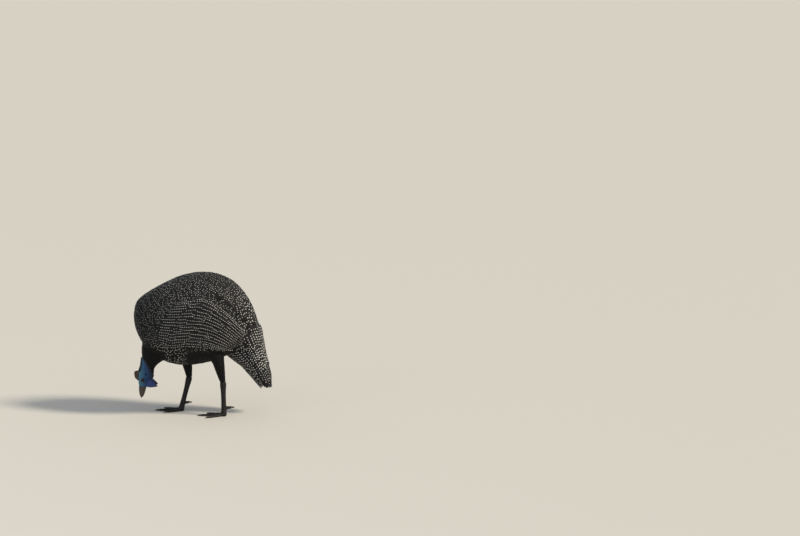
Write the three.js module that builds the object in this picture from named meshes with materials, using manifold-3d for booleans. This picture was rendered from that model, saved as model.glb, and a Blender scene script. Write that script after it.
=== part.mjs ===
// A helmeted guinea fowl, life size, standing on both feet with its head down to feed.
// Millimetres. +Z is up, the bird faces -X, its left side is towards -Y, and it stands on z = 0.
import * as THREE from 'three';
import { mergeVertices } from 'three/addons/utils/BufferGeometryUtils.js';
import Module from 'manifold-3d';

const wasm = await Module();
wasm.setup();

const GAP = 0.3; // clear space between pieces that touch
const FLOOR_DIP = 0.9; // how far a toe's round underside is trimmed to leave its small flat

// Materials, one for each kind of surface
const finish = (color, roughness) => new THREE.MeshStandardMaterial({ color, roughness, metalness: 0 });
const PLUMAGE = finish(0x24252a, 0.75);
const NECK_DOWN = finish(0x101216, 0.8);
const FACE_SKIN = finish(0x2c6c9c, 0.55);
const WATTLE_SKIN = finish(0x2456a0, 0.5);
const CASQUE_HORN = finish(0x6b4632, 0.5);
const BILL_HORN = finish(0x8d7a66, 0.45);
const EYE = finish(0x1d120c, 0.1);
const LEG_SCALE = finish(0x2a2624, 0.6);
const CLAW_HORN = finish(0x1a1715, 0.4);

// Numbers and curves

const mix = (a, b, t) => a + (b - a) * t;
const clamp = (value, low, high) => Math.min(Math.max(value, low), high);
const degrees = (angle) => THREE.MathUtils.degToRad(angle);
const signedPower = (value, power) => Math.sign(value) * Math.abs(value) ** power;

// The smooth value at t, from 0 to 1, through evenly spaced knots.
function smooth(knots, t) {
  const last = knots.length - 1;
  const place = clamp(t, 0, 1) * last;
  const i = Math.min(Math.floor(place), last - 1);
  const f = place - i;
  const knot = (n) => knots[clamp(n, 0, last)];
  const [a, b, c, d] = [knot(i - 1), knot(i), knot(i + 1), knot(i + 2)];
  const square = 2 * a - 5 * b + 4 * c - d;
  const cube = 3 * b - a - 3 * c + d;
  return 0.5 * (2 * b + (c - a) * f + square * f * f + cube * f * f * f);
}

// Closed surfaces

// Turns a closed surface the right way out.
function facingOut(positions, triangles) {
  const [a, b, c] = [new THREE.Vector3(), new THREE.Vector3(), new THREE.Vector3()];
  let volume = 0;
  for (let i = 0; i < triangles.length; i += 3) {
    a.fromArray(positions, 3 * triangles[i]);
    b.fromArray(positions, 3 * triangles[i + 1]);
    c.fromArray(positions, 3 * triangles[i + 2]);
    volume += a.dot(b.cross(c));
  }
  if (volume < 0) triangles.reverse();
  const made = new THREE.BufferGeometry();
  made.setAttribute('position', new THREE.Float32BufferAttribute(positions, 3));
  made.setIndex(triangles);
  return made;
}

// A closed surface through rings of points, with a fan over each end.
function closedRings(rings) {
  const sides = rings[0].length;
  const positions = rings.flatMap((ring) => ring.flatMap((p) => [p.x, p.y, p.z]));
  const triangles = [];
  for (let i = 0; i < rings.length - 1; i++) {
    for (let j = 0; j < sides; j++) {
      const [a, b] = [i * sides + j, i * sides + ((j + 1) % sides)];
      triangles.push(a, b, b + sides, a, b + sides, a + sides);
    }
  }
  for (const [ring, turn] of [[0, 1], [rings.length - 1, -1]]) {
    const middle = rings[ring].reduce((sum, p) => sum.add(p), new THREE.Vector3());
    middle.divideScalar(sides);
    const hub = positions.length / 3;
    positions.push(middle.x, middle.y, middle.z);
    for (let j = 0; j < sides; j++) {
      const [a, b] = [ring * sides + j, ring * sides + ((j + 1) % sides)];
      triangles.push(...(turn > 0 ? [hub, b, a] : [hub, a, b]));
    }
  }
  return facingOut(positions, triangles);
}

// A thin closed plate: `outer` and `inner` give the points of its two faces, split alike.
function plate(rows, columns, outer, inner) {
  const rings = [];
  for (let i = 0; i < rows; i++) {
    const ring = [];
    for (let j = 0; j < columns; j++) ring.push(outer(i, j));
    for (let j = columns - 1; j >= 0; j--) ring.push(inner(i, j));
    rings.push(ring);
  }
  const sides = 2 * columns;
  const positions = rings.flatMap((ring) => ring.flatMap((p) => [p.x, p.y, p.z]));
  const triangles = [];
  for (let i = 0; i < rows - 1; i++) {
    for (let j = 0; j < sides; j++) {
      const [a, b] = [i * sides + j, i * sides + ((j + 1) % sides)];
      const onInner = j >= columns && j < sides - 1;
      if (onInner) triangles.push(a, b, a + sides, b, b + sides, a + sides);
      else triangles.push(a, b, b + sides, a, b + sides, a + sides);
    }
  }
  for (const [row, turn] of [[0, -1], [rows - 1, 1]]) {
    for (let j = 0; j < columns - 1; j++) {
      const [a, b] = [row * sides + j, row * sides + j + 1];
      const [c, d] = [row * sides + sides - 2 - j, row * sides + sides - 1 - j];
      triangles.push(...(turn > 0 ? [a, b, c, a, c, d] : [a, c, b, a, d, c]));
    }
  }
  return facingOut(positions, triangles);
}

// A limb along smooth stations: `at` is a point on its middle line, `deep` and `wide` are the half sizes of its
// section, across the plane of `side` and along it.
function limb(stations, rings, sides, side = new THREE.Vector3(0, 1, 0)) {
  const knots = (pick) => stations.map(pick);
  const place = (t) => new THREE.Vector3(
    smooth(knots((s) => s.at[0]), t),
    smooth(knots((s) => s.at[1]), t),
    smooth(knots((s) => s.at[2]), t),
  );
  const made = [];
  for (let i = 0; i <= rings; i++) {
    const t = i / rings;
    const middle = place(t);
    const along = place(Math.min(t + 0.01, 1)).sub(place(Math.max(t - 0.01, 0))).normalize();
    const wideWay = side.clone().addScaledVector(along, -side.dot(along)).normalize();
    const deepWay = wideWay.clone().cross(along);
    const deep = smooth(knots((s) => s.deep), t);
    const wide = smooth(knots((s) => s.wide), t);
    const ring = [];
    for (let j = 0; j < sides; j++) {
      const angle = (2 * Math.PI * j) / sides;
      const point = middle.clone().addScaledVector(deepWay, deep * Math.cos(angle));
      ring.push(point.addScaledVector(wideWay, wide * Math.sin(angle)));
    }
    made.push(ring);
  }
  return closedRings(made);
}

// The same closed surface moved out by a distance along its own normals.
function grown(geometry, by) {
  const made = geometry.clone();
  made.computeVertexNormals();
  const [place, normal] = [made.attributes.position, made.attributes.normal];
  for (let i = 0; i < place.count; i++) {
    const out = new THREE.Vector3().fromBufferAttribute(normal, i).multiplyScalar(by);
    place.setXYZ(i, place.getX(i) + out.x, place.getY(i) + out.y, place.getZ(i) + out.z);
  }
  return made;
}

// The same piece on the bird's other side.
function mirrored(geometry) {
  const made = geometry.clone();
  const place = made.attributes.position;
  for (let i = 0; i < place.count; i++) place.setY(i, -place.getY(i));
  made.setIndex([...geometry.index.array].reverse());
  return made;
}

// Joining and cutting

function solid(geometry) {
  const bare = geometry.clone();
  bare.deleteAttribute('normal');
  bare.deleteAttribute('uv');
  const merged = mergeVertices(bare, 1e-4);
  return new wasm.Manifold(new wasm.Mesh({
    numProp: 3,
    vertProperties: new Float32Array(merged.attributes.position.array),
    triVerts: new Uint32Array(merged.index.array),
  }));
}

// One closed body: the pieces joined, the cutters taken away, and only the largest surface kept.
function joined(pieces, cutters = []) {
  let whole = solid(pieces[0]);
  for (const piece of pieces.slice(1)) whole = whole.add(solid(piece));
  for (const cutter of cutters) whole = whole.subtract(solid(cutter));
  const [largest] = whole.decompose().sort((a, b) => b.volume() - a.volume());
  const mesh = largest.getMesh();
  const made = new THREE.BufferGeometry();
  made.setAttribute('position', new THREE.BufferAttribute(mesh.vertProperties, 3));
  made.setIndex(new THREE.BufferAttribute(mesh.triVerts, 1));
  return made;
}

function box(low, high) {
  const size = high.map((value, i) => value - low[i]);
  const made = new THREE.BoxGeometry(...size);
  return made.translate(...high.map((value, i) => (value + low[i]) / 2));
}

// A block filling the far side of the plane through `place` across `way`
function beyond(place, way) {
  const size = 120;
  const across = new THREE.Vector3(0, 1, 0);
  const block = new THREE.BoxGeometry(size, size, size).translate(0, 0, size / 2);
  block.applyMatrix4(new THREE.Matrix4().makeBasis(across, way.clone().cross(across), way));
  return block.translate(place.x, place.y, place.z);
}

const bird = new THREE.Group();
bird.name = 'guinea_fowl';

function add(name, geometry, material) {
  const mesh = new THREE.Mesh(geometry, material);
  mesh.name = name;
  bird.add(mesh);
}

// Adds the left piece and its mirror image on the right.
function addPair(name, geometry, material) {
  add(`${name}_left`, geometry, material);
  add(`${name}_right`, mirrored(geometry), material);
}

// Torso: from the breast to the rump, a deep egg with its widest level below the middle

const TORSO_STATIONS = [
  { x: -166, top: 240, bottom: 236, half: 2 },
  { x: -160, top: 271, bottom: 204, half: 32 },
  { x: -139, top: 292, bottom: 165, half: 53 },
  { x: -100, top: 315, bottom: 132, half: 69 },
  { x: -50, top: 338, bottom: 119, half: 79 },
  { x: 0, top: 346, bottom: 123, half: 81 },
  { x: 45, top: 339, bottom: 136, half: 75 },
  { x: 85, top: 315, bottom: 157, half: 61 },
  { x: 115, top: 273, bottom: 180, half: 43 },
  { x: 130, top: 235, bottom: 199, half: 22 },
  { x: 134, top: 216, bottom: 212, half: 2 },
];
const TORSO_RINGS = 24;
const TORSO_SIDES = 28;
const TORSO_LEVEL = 0.46; // height of the widest level, as a share of the section
const TORSO_SQUARENESS = 2.2; // 2 is an ellipse

function torsoAt(t) {
  const value = (name) => smooth(TORSO_STATIONS.map((s) => s[name]), t);
  const [x, top, bottom, half] = ['x', 'top', 'bottom', 'half'].map(value);
  return { x, top, bottom, half, level: mix(bottom, top, TORSO_LEVEL) };
}

function torsoPoint(t, angle) {
  const { x, top, bottom, half, level } = torsoAt(t);
  const across = signedPower(Math.cos(angle), 2 / TORSO_SQUARENESS);
  const up = signedPower(Math.sin(angle), 2 / TORSO_SQUARENESS);
  return new THREE.Vector3(x, -half * across, level + up * (up > 0 ? top - level : level - bottom));
}

const torsoRings = Array.from({ length: TORSO_RINGS + 1 }, (_, i) => (
  Array.from({ length: TORSO_SIDES }, (_, j) => torsoPoint(i / TORSO_RINGS, (2 * Math.PI * j) / TORSO_SIDES))
));
const torso = closedRings(torsoRings);
const aroundTorso = grown(torso, GAP);

// Half width of the torso at a place seen from the side
function torsoHalfWidth(x, z) {
  let [low, high] = [0, 1];
  for (let i = 0; i < 30; i++) {
    const middle = (low + high) / 2;
    if (torsoAt(middle).x < x) low = middle;
    else high = middle;
  }
  const { top, bottom, half, level } = torsoAt((low + high) / 2);
  const share = clamp(Math.abs(z - level) / (z > level ? top - level : level - bottom), 0, 0.98);
  return half * (1 - share ** TORSO_SQUARENESS) ** (1 / TORSO_SQUARENESS);
}

// A point over the torso's left side, at a height above its surface
function overLeftSide(x, z, height) {
  const step = 2;
  const slopeX = (torsoHalfWidth(x + step, z) - torsoHalfWidth(x - step, z)) / (2 * step);
  const slopeZ = (torsoHalfWidth(x, z + step) - torsoHalfWidth(x, z - step)) / (2 * step);
  const out = new THREE.Vector3(-slopeX, -1, -slopeZ).normalize();
  return new THREE.Vector3(x, -torsoHalfWidth(x, z), z).addScaledVector(out, height);
}

add('torso', torso, PLUMAGE);

// Neck: feathered, out of the lower breast and down to the bare skin of the upper neck

const NECK_STATIONS = [
  { at: [-92, 0, 200], deep: 44, wide: 34 },
  { at: [-106, 0, 172], deep: 41, wide: 32 },
  { at: [-119, 0, 146], deep: 32, wide: 26 },
  { at: [-127, 0, 128], deep: 22, wide: 19 },
  { at: [-132, 0, 114], deep: 17.5, wide: 15.5 },
  { at: [-136, 0, 100], deep: 16.5, wide: 14.5 },
];
const HEAD_JOIN = new THREE.Vector3(-130, 0, 121); // where the feathers end and the bare skin begins
const NECK_WAY = new THREE.Vector3(-0.33, 0, -0.944).normalize();
const neck = limb(NECK_STATIONS, 14, 20);
add('neck', joined([neck], [aroundTorso, beyond(HEAD_JOIN, NECK_WAY)]), NECK_DOWN);

// Head: bare skin over the skull, bill downwards. `crown` points out of the crown, `beak` along the bill.

const BEAK_WAY = new THREE.Vector3(-0.16, 0, -0.987).normalize();
const CROWN_WAY = new THREE.Vector3(BEAK_WAY.z, 0, -BEAK_WAY.x);
const SKULL = new THREE.Vector3(-139, 0, 88); // middle of the head, level with the ears and the eyes
const SIDE_WAY = new THREE.Vector3(0, -1, 0);
const HEAD_TURN = new THREE.Matrix4().makeBasis(SIDE_WAY.clone().negate(), BEAK_WAY, CROWN_WAY);

// A point of the head: along the bill, out of the crown, and out of the left side
function headPoint(beak, crown, side = 0) {
  return SKULL.clone()
    .addScaledVector(BEAK_WAY, beak)
    .addScaledVector(CROWN_WAY, crown)
    .addScaledVector(SIDE_WAY, side);
}

const station = (beak, crown, deep, wide) => ({ at: headPoint(beak, crown).toArray(), deep, wide });

const skull = limb([
  NECK_STATIONS[3],
  NECK_STATIONS[4],
  station(-13, -2.6, 19.2, 14.5),
  station(-2, -1, 18, 14),
  station(8, 0.4, 15.1, 12.5),
  station(16, 1.5, 11.5, 9.5),
  station(22, 1.5, 9, 7.2),
], 12, 20);

const EYE_RADIUS = 5.4;
const EYE_PLACE = headPoint(5, 3.5, 9.3);
const EAR_PLACE = headPoint(-10, -1, 13.6);

function ball(radius, place, across = 14, down = 9) {
  return new THREE.SphereGeometry(radius, across, down).translate(place.x, place.y, place.z);
}

// A ring laid on the side of the head, such as the lids or the rim of the ear
function ringOnHead(place, radius, thickness, around, lean = 0) {
  const ring = new THREE.TorusGeometry(radius, thickness, 5, around);
  ring.rotateX(Math.PI / 2);
  ring.rotateZ(lean);
  return ring.translate(place.x, place.y, place.z);
}

const lids = ringOnHead(headPoint(5, 3.5, 12.2), EYE_RADIUS - 0.3, 1.1, 14, degrees(-14));
const earRim = ringOnHead(headPoint(-10, -1, 13.7), 2.6, 0.8, 10);
const earHole = ball(1.9, EAR_PLACE, 8, 6);
const socket = ball(EYE_RADIUS + GAP, EYE_PLACE);

// The slit of the mouth, from the base of the bill to the gape
const MOUTH_LEVEL = -0.5; // below the middle of the bill
const MOUTH_SLIT = 0.5;
const gape = new THREE.BoxGeometry(40, 9, MOUTH_SLIT);
gape.applyMatrix4(HEAD_TURN);
const gapeMiddle = headPoint(18.5, MOUTH_LEVEL);
gape.translate(gapeMiddle.x, gapeMiddle.y, gapeMiddle.z);

const bothSides = (geometry) => [geometry, mirrored(geometry)];
const headPieces = [skull, ...bothSides(lids), ...bothSides(earRim)];
const belowJoin = beyond(HEAD_JOIN.clone().addScaledVector(NECK_WAY, GAP), NECK_WAY.clone().negate());
const head = joined(headPieces, [...bothSides(socket), ...bothSides(earHole), gape, belowJoin]);
add('head', head, FACE_SKIN);
addPair('eye', ball(EYE_RADIUS, EYE_PLACE), EYE);

// Bill: two horny halves with the slit between them, the upper one longer and hooked over

const BILL_LENGTH = 29;
const BILL_START = 22 + GAP;
const billStation = (share, crown, deep, wide) => station(BILL_START + share * BILL_LENGTH, crown, deep, wide);
const upperBill = limb([
  billStation(0, 1.7, 8.8, 7),
  billStation(0.3, 1.6, 7.6, 5.6),
  billStation(0.62, 0.9, 5.6, 3.8),
  billStation(0.88, -1.2, 3.2, 2),
  billStation(1, -2.8, 0.9, 0.7),
], 10, 16);
const lowerBill = limb([
  billStation(0, -1, 6.2, 6.4),
  billStation(0.3, -1, 5.2, 5.2),
  billStation(0.6, -1.2, 3.6, 3.6),
  billStation(0.84, -1.6, 1.4, 1.5),
], 8, 14);

// A block on one side of the slit, which trims the half that lies on the other side
function mouthBlock(towardsCrown) {
  const size = 30;
  const block = new THREE.BoxGeometry(size, 3 * size, size);
  block.applyMatrix4(HEAD_TURN);
  const offset = MOUTH_LEVEL + towardsCrown * (size / 2 - MOUTH_SLIT / 2);
  const middle = headPoint(BILL_START + BILL_LENGTH / 2, offset);
  return block.translate(middle.x, middle.y, middle.z);
}

const nostril = ball(1, new THREE.Vector3(), 6, 5).scale(0.9, 1, 2).translate(...headPoint(29, 4.6, 5.2).toArray());
add('bill_upper', joined([upperBill], [mouthBlock(-1), ...bothSides(nostril)]), BILL_HORN);
add('bill_lower', joined([lowerBill], [mouthBlock(1)]), BILL_HORN);

// Casque: a short bony helmet on the crown, flat-sided and leaning back

const aroundHead = grown(skull, GAP);
const casque = limb([
  { at: headPoint(-4.5, 10).toArray(), deep: 15.5, wide: 6 },
  { at: headPoint(-5, 16.5).toArray(), deep: 13, wide: 5 },
  { at: headPoint(-7, 21).toArray(), deep: 9, wide: 3.8 },
  { at: headPoint(-9, 25).toArray(), deep: 4.5, wide: 2.6 },
  { at: headPoint(-9.8, 27).toArray(), deep: 0.8, wide: 0.8 },
], 8, 14);
add('casque', joined([casque], [aroundHead]), CASQUE_HORN);

// Wattles: a fleshy lobe from each corner of the mouth, cupped and notched by a fold

function wattlePoint(t, u, thickness) {
  const middle = new THREE.Vector3(
    smooth([-138, -129, -119, -108.5], t),
    smooth([-7.2, -12.6, -14.8, -14.6], t),
    smooth([76, 76, 74.5, 70], t),
  );
  const halfWidth = smooth([8, 10, 7.8, 1.4], t);
  const cup = 1.6 * (1 - u * u) * Math.sin(Math.PI * t);
  const fold = 0.7 * Math.cos(3 * Math.PI * u) * Math.sin(Math.PI * t);
  return middle.add(new THREE.Vector3(0, -cup - fold + thickness, halfWidth * u));
}

const WATTLE_ROWS = 7;
const WATTLE_COLUMNS = 5;
const WATTLE_THICKNESS = 2.6;
const wattleFace = (side) => (i, j) => {
  const [t, u] = [i / (WATTLE_ROWS - 1), mix(-1, 1, j / (WATTLE_COLUMNS - 1))];
  const half = (WATTLE_THICKNESS / 2) * Math.sqrt(1 - 0.85 * u * u) * (1 - 0.6 * t * t);
  return wattlePoint(t, u, side * half);
};
const wattle = plate(WATTLE_ROWS, WATTLE_COLUMNS, wattleFace(-1), wattleFace(1));
const aroundBill = [grown(upperBill, GAP), grown(lowerBill, GAP)];
addPair('wattle', joined([wattle], [aroundHead, ...aroundBill]), WATTLE_SKIN);

// Legs: a feathered thigh, a scaly shank and four toes. The left leg is back and the right one is forward.

const LEGS = {
  left: { side: -1, hip: [28, 166], knee: [37, 138], drum: [43, 110], ankle: [49, 84], sole: [51, 9] },
  right: { side: 1, hip: [-44, 160], knee: [-42, 134], drum: [-37, 108], ankle: [-33, 84], sole: [-52, 9] },
};
const HIP_SPREAD = 40;
const FOOT_SPREAD = 33;
const TOES = [
  { name: 'inner', yaw: 33, length: 33, pads: 3 },
  { name: 'middle', yaw: 0, length: 46, pads: 3 },
  { name: 'outer', yaw: -34, length: 35, pads: 4 },
];
const TOE_ROOT = 7.2; // from the middle of the foot to the root of a front toe
const TOE_RADIUS = 4.3;
const CLAW_LENGTH = 11;
const belowFloor = box([-400, -200, -50], [400, 200, 0]);

// A toe with a soft pad under each joint, from `root` along `way`
function toe(root, way, length, pads, rise) {
  const stations = [];
  const count = 2 * pads + 1;
  for (let i = 0; i <= count; i++) {
    const t = i / count;
    const pad = i % 2 ? 1.08 : 0.9;
    const radius = TOE_RADIUS * mix(1, 0.74, t) * pad;
    const height = mix(root.z, radius - FLOOR_DIP, rise ? 0 : clamp(3 * t, 0, 1));
    const at = root.clone().addScaledVector(way, length * t);
    stations.push({ at: [at.x, at.y, height + rise * t * length], deep: radius, wide: radius * 0.95 });
  }
  const level = way.clone().cross(new THREE.Vector3(0, 0, 1)).normalize();
  return limb(stations, 2 * pads + 3, 8, level);
}

// A claw from the end of a toe, curving down to the floor
function claw(start, way, height, length) {
  const level = way.clone().cross(new THREE.Vector3(0, 0, 1)).normalize();
  const shape = [[0, 0, 2.5], [0.35, 0.35, 2.2], [0.7, 0.1, 1.5], [1, -1.1, 0.5]];
  return limb(shape.map(([share, lift, radius]) => {
    const at = start.clone().addScaledVector(way, share * length);
    return { at: [at.x, at.y, height + lift], deep: radius, wide: radius * 0.8 };
  }), 5, 6, level);
}

for (const [name, leg] of Object.entries(LEGS)) {
  const lateral = (spread) => leg.side * spread;
  const thigh = limb([
    { at: [leg.hip[0], lateral(HIP_SPREAD - 2), leg.hip[1]], deep: 24, wide: 21 },
    { at: [leg.knee[0], lateral(HIP_SPREAD), leg.knee[1]], deep: 16.5, wide: 17 },
    { at: [leg.drum[0], lateral(mix(HIP_SPREAD, FOOT_SPREAD, 0.5)), leg.drum[1]], deep: 12.5, wide: 12 },
    { at: [leg.ankle[0], lateral(FOOT_SPREAD), leg.ankle[1] - 4], deep: 8, wide: 7.2 },
  ], 10, 16);
  const down = new THREE.Vector3(0, 0, -1);
  const ankle = new THREE.Vector3(leg.ankle[0], lateral(FOOT_SPREAD), leg.ankle[1]);
  add(`thigh_${name}`, joined([thigh], [aroundTorso, beyond(ankle, down)]), PLUMAGE);

  const foot = new THREE.Vector3(leg.sole[0], lateral(FOOT_SPREAD), 0);
  const shank = limb([
    { at: [leg.ankle[0], lateral(FOOT_SPREAD), leg.ankle[1] + 5], deep: 7.2, wide: 6.8 },
    { at: [mix(leg.ankle[0], foot.x, 0.12), lateral(FOOT_SPREAD), mix(leg.ankle[1], 9, 0.12)], deep: 7.6, wide: 7 },
    { at: [mix(leg.ankle[0], foot.x, 0.36), lateral(FOOT_SPREAD), mix(leg.ankle[1], 9, 0.36)], deep: 6.2, wide: 5.4 },
    { at: [mix(leg.ankle[0], foot.x, 0.72), lateral(FOOT_SPREAD), mix(leg.ankle[1], 9, 0.72)], deep: 6, wide: 5.3 },
    { at: [foot.x, foot.y, 9], deep: 7, wide: 7.4 },
    { at: [foot.x - 1, foot.y, 3.5], deep: 7.4, wide: 7.6 },
    { at: [foot.x - 1, foot.y, -FLOOR_DIP], deep: 5, wide: 5.2 },
  ], 14, 12);
  const aroundShank = grown(shank, GAP);
  const toes = TOES.map((one) => {
    const yaw = degrees(one.yaw) * leg.side;
    const way = new THREE.Vector3(-Math.cos(yaw), -Math.sin(yaw), 0);
    const root = foot.clone().addScaledVector(way, TOE_ROOT - 4).setZ(TOE_RADIUS + 0.8);
    const end = root.clone().addScaledVector(way, one.length + 4);
    const reach = one.length + 4;
    const tipHeight = TOE_RADIUS * 0.74 - FLOOR_DIP;
    const clawStart = end.clone().addScaledVector(way, GAP);
    return { ...one, body: toe(root, way, reach, one.pads, 0), claw: claw(clawStart, way, tipHeight, CLAW_LENGTH) };
  });
  const backWay = new THREE.Vector3(1, 0, 0);
  const backRoot = new THREE.Vector3(foot.x + 1.5, foot.y, 20);
  const BACK_TOE = 16;
  toes.push({
    name: 'back',
    body: toe(backRoot, backWay, BACK_TOE, 1, 0.1),
    claw: claw(new THREE.Vector3(foot.x + 1.5 + BACK_TOE + GAP, foot.y, 0), backWay, 21.5, 8),
  });

  const aboveAnkle = beyond(ankle.clone().addScaledVector(down, GAP), down.clone().negate());
  add(`shank_${name}`, joined([shank], [belowFloor, aboveAnkle]), LEG_SCALE);
  const cutSoFar = [aroundShank, belowFloor];
  for (const one of toes) {
    add(`toe_${one.name}_${name}`, joined([one.body], cutSoFar), LEG_SCALE);
    cutSoFar.push(grown(one.body, GAP));
    add(`claw_${one.name}_${name}`, joined([one.claw], [belowFloor]), CLAW_HORN);
  }
}

// Wings: folded over the flanks. A place on a wing is `along` the feathers, from -1 at its front edge through 0 at
// the roots of the long feathers to 1 at their tips, `lane` from the lowest feather to the highest, and a height
// above the torso. Each line runs from lane 0 to lane 1.

const WING_FRONT = [[-112, 187], [-129, 206], [-129, 232], [-116, 257], [-92, 279]];
const WING_ROOTS = [[-78, 174], [-58, 210], [-28, 254], [6, 294]];
const WING_TIPS = [[44, 166], [76, 169], [97, 182], [106, 206]];
const WING_BOW = [7, 11]; // how far the long feathers bow upwards, in the lowest lane and the highest

function onWing(along, lane, height) {
  const [front, root, tip] = [WING_FRONT, WING_ROOTS, WING_TIPS].map((line) => (
    [0, 1].map((axis) => smooth(line.map((place) => place[axis]), lane))
  ));
  const share = Math.abs(along);
  const bow = along > 0 ? mix(...WING_BOW, lane) * Math.sin(Math.PI * Math.min(share, 1)) : 0;
  const x = mix(root[0], along > 0 ? tip[0] : front[0], share);
  const z = mix(root[1], along > 0 ? tip[1] : front[1], share) + bow;
  return overLeftSide(x, z, height);
}

// The arm and the feather bases: thick at the front, thinning backwards under each tier of long feathers
const WING_ARM = [0.3, 5.5, 7.5, 8.2, 7.4, 5.4, 3.2, 0.2]; // height, evenly spaced from the front edge backwards
const ARM_ROWS = 9;
const ARM_COLUMNS = 9;
const ARM_END = 0.16;
const ARM_SUNK = -1.2;
const armPlace = (i, j) => [mix(-1, ARM_END, i / (ARM_ROWS - 1)), j / (ARM_COLUMNS - 1)];
const armHeight = (along, lane) => {
  const rounding = Math.sin(Math.PI * clamp(lane, 0.03, 0.97)) ** 0.4;
  return 0.4 + smooth(WING_ARM, (along + 1) / (ARM_END + 1)) * rounding;
};
const arm = plate(
  ARM_ROWS,
  ARM_COLUMNS,
  (i, j) => onWing(...armPlace(i, j), armHeight(...armPlace(i, j))),
  (i, j) => onWing(...armPlace(i, j), ARM_SUNK),
);

// One feather vane as a thin closed plate. `over` gives a point over the body from a place along the feathers, a
// lane and a height. The vane runs from `from` to `to` in its lane, its root sunk by `sink` below its own tier.
// `tilt` lifts one of its edges over the next feather.
const SHORT_ROWS = [0, 0.3, 0.66, 0.92, 1];
const LONG_ROWS = [0, 0.16, 0.4, 0.66, 0.93, 1];
const VANE_WIDTHS = [0.62, 0.9, 1, 1, 0.97, 0.52]; // half widths, evenly spaced from root to tip
const VANE_THICKNESS = 0.8;
const VANE_TIP_THICKNESS = 0.4;
const TIP_ROUNDING = 0.045;

function vane(over, { lane, reach, from, to, lift, tilt, rows = SHORT_ROWS, sink = 3.5 }) {
  const face = (side) => (i, j) => {
    const t = rows[i];
    const u = (j - 1) * smooth(VANE_WIDTHS, t);
    const tip = i === rows.length - 1;
    const along = mix(from, to, t) - (tip && j !== 1 ? TIP_ROUNDING * Math.abs(to - from) : 0);
    const height = lift - (i === 0 ? sink : 0) + tilt * u;
    const half = (tip ? VANE_TIP_THICKNESS : VANE_THICKNESS) / 2;
    return over(along, lane + reach * u, height + side * half);
  };
  return plate(rows.length, 3, face(1), face(-1));
}

const UNEVEN = 0.011; // how much the roots in a row are out of line, as a share of a feather's length
const UNEVEN_STEP = 2.4;

// A tier of vanes side by side, `range` being its first and last lane. `ends` gives where each begins and ends.
function tier(over, count, range, ends, { overlap, ...shape }) {
  const pitch = count > 1 ? (range[1] - range[0]) / (count - 1) : 0;
  return Array.from({ length: count }, (_, k) => {
    const share = count > 1 ? k / (count - 1) : 0.5;
    const [from, to] = ends(share, k);
    const lane = mix(range[0], range[1], share);
    const uneven = UNEVEN * Math.sin(UNEVEN_STEP * k);
    return vane(over, { lane, reach: Math.abs(pitch) * overlap, from: from + uneven * (to - from), to, ...shape });
  });
}

// Long feathers of the wing: the hand's narrow ones lowest, then those of the arm, each under the one above it
const WING_VANES = [
  ...tier(onWing, 3, [0.065, 0.165], (share) => [-0.08, mix(1.2, 1.1, share)], {
    overlap: 0.76, lift: 4.3, tilt: -1.1, rows: LONG_ROWS, sink: 0.6,
  }),
  ...tier(onWing, 9, [0.25, 0.93], (share) => [-0.1, 1 - 0.03 * share], {
    overlap: 0.76, lift: 3.7, tilt: -1.05, rows: LONG_ROWS, sink: 0.8,
  }),
];
const WING_COVERTS = [
  ...tier(onWing, 8, [0.11, 0.91], (share) => [-0.22, mix(0.3, 0.46, share)], {
    overlap: 0.74, lift: 7.6, tilt: -1, sink: 5,
  }),
  ...tier(onWing, 7, [0.13, 0.88], (share) => [-0.52, mix(0.02, 0.08, share)], {
    overlap: 0.74, lift: 11, tilt: -0.95, sink: 7,
  }),
];
const wingPieces = [arm, ...WING_VANES, ...WING_COVERTS];
add('wing_left', joined(wingPieces, [aroundTorso]), PLUMAGE);
add('wing_right', joined(wingPieces.map(mirrored), [aroundTorso]), PLUMAGE);

// Tail: it hangs down from the rump. A place on it is `along` its middle line, an angle round it from the top,
// and a height above its outer surface.

const TAIL_ROOT = new THREE.Vector3(88, 0, 185);
const TAIL_WAY = new THREE.Vector3(0.45, 0, -0.893).normalize();
const TAIL_TOP = new THREE.Vector3(-TAIL_WAY.z, 0, TAIL_WAY.x);
const TAIL_START = -20;
const TAIL_END = 140;
const TAIL_DEEP = [56, 50, 40, 31, 26, 21, 12]; // half depth, evenly spaced from start to end
const TAIL_WIDE = [44, 42, 38, 35, 32, 28, 22];
const TAIL_BEND = [0, 0, 3, 6, 7, 7, 4]; // how far its middle line bends towards its upper side

function onTail(along, angle, height) {
  const t = (along - TAIL_START) / (TAIL_END - TAIL_START);
  const up = smooth(TAIL_BEND, t) + (smooth(TAIL_DEEP, t) + height) * Math.cos(angle);
  return TAIL_ROOT.clone()
    .addScaledVector(TAIL_WAY, along)
    .addScaledVector(TAIL_TOP, up)
    .add(new THREE.Vector3(0, (smooth(TAIL_WIDE, t) + height) * Math.sin(angle), 0));
}

// The fleshy root and the down around it, inside the long feathers
const RUMP = [2, 6, 5.6, -1.5, -3.4, -3.6, -4]; // height, evenly spaced from start to end
const RUMP_END = 84;
const RUMP_RINGS = 9;
const RUMP_SIDES = 16;
const rumpRings = Array.from({ length: RUMP_RINGS + 1 }, (_, i) => (
  Array.from({ length: RUMP_SIDES }, (_, j) => {
    const share = i / RUMP_RINGS;
    const height = smooth(RUMP, share) - (i === RUMP_RINGS ? 8 : 0);
    return onTail(mix(TAIL_START, RUMP_END, share), (2 * Math.PI * j) / RUMP_SIDES, height);
  })
));

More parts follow.
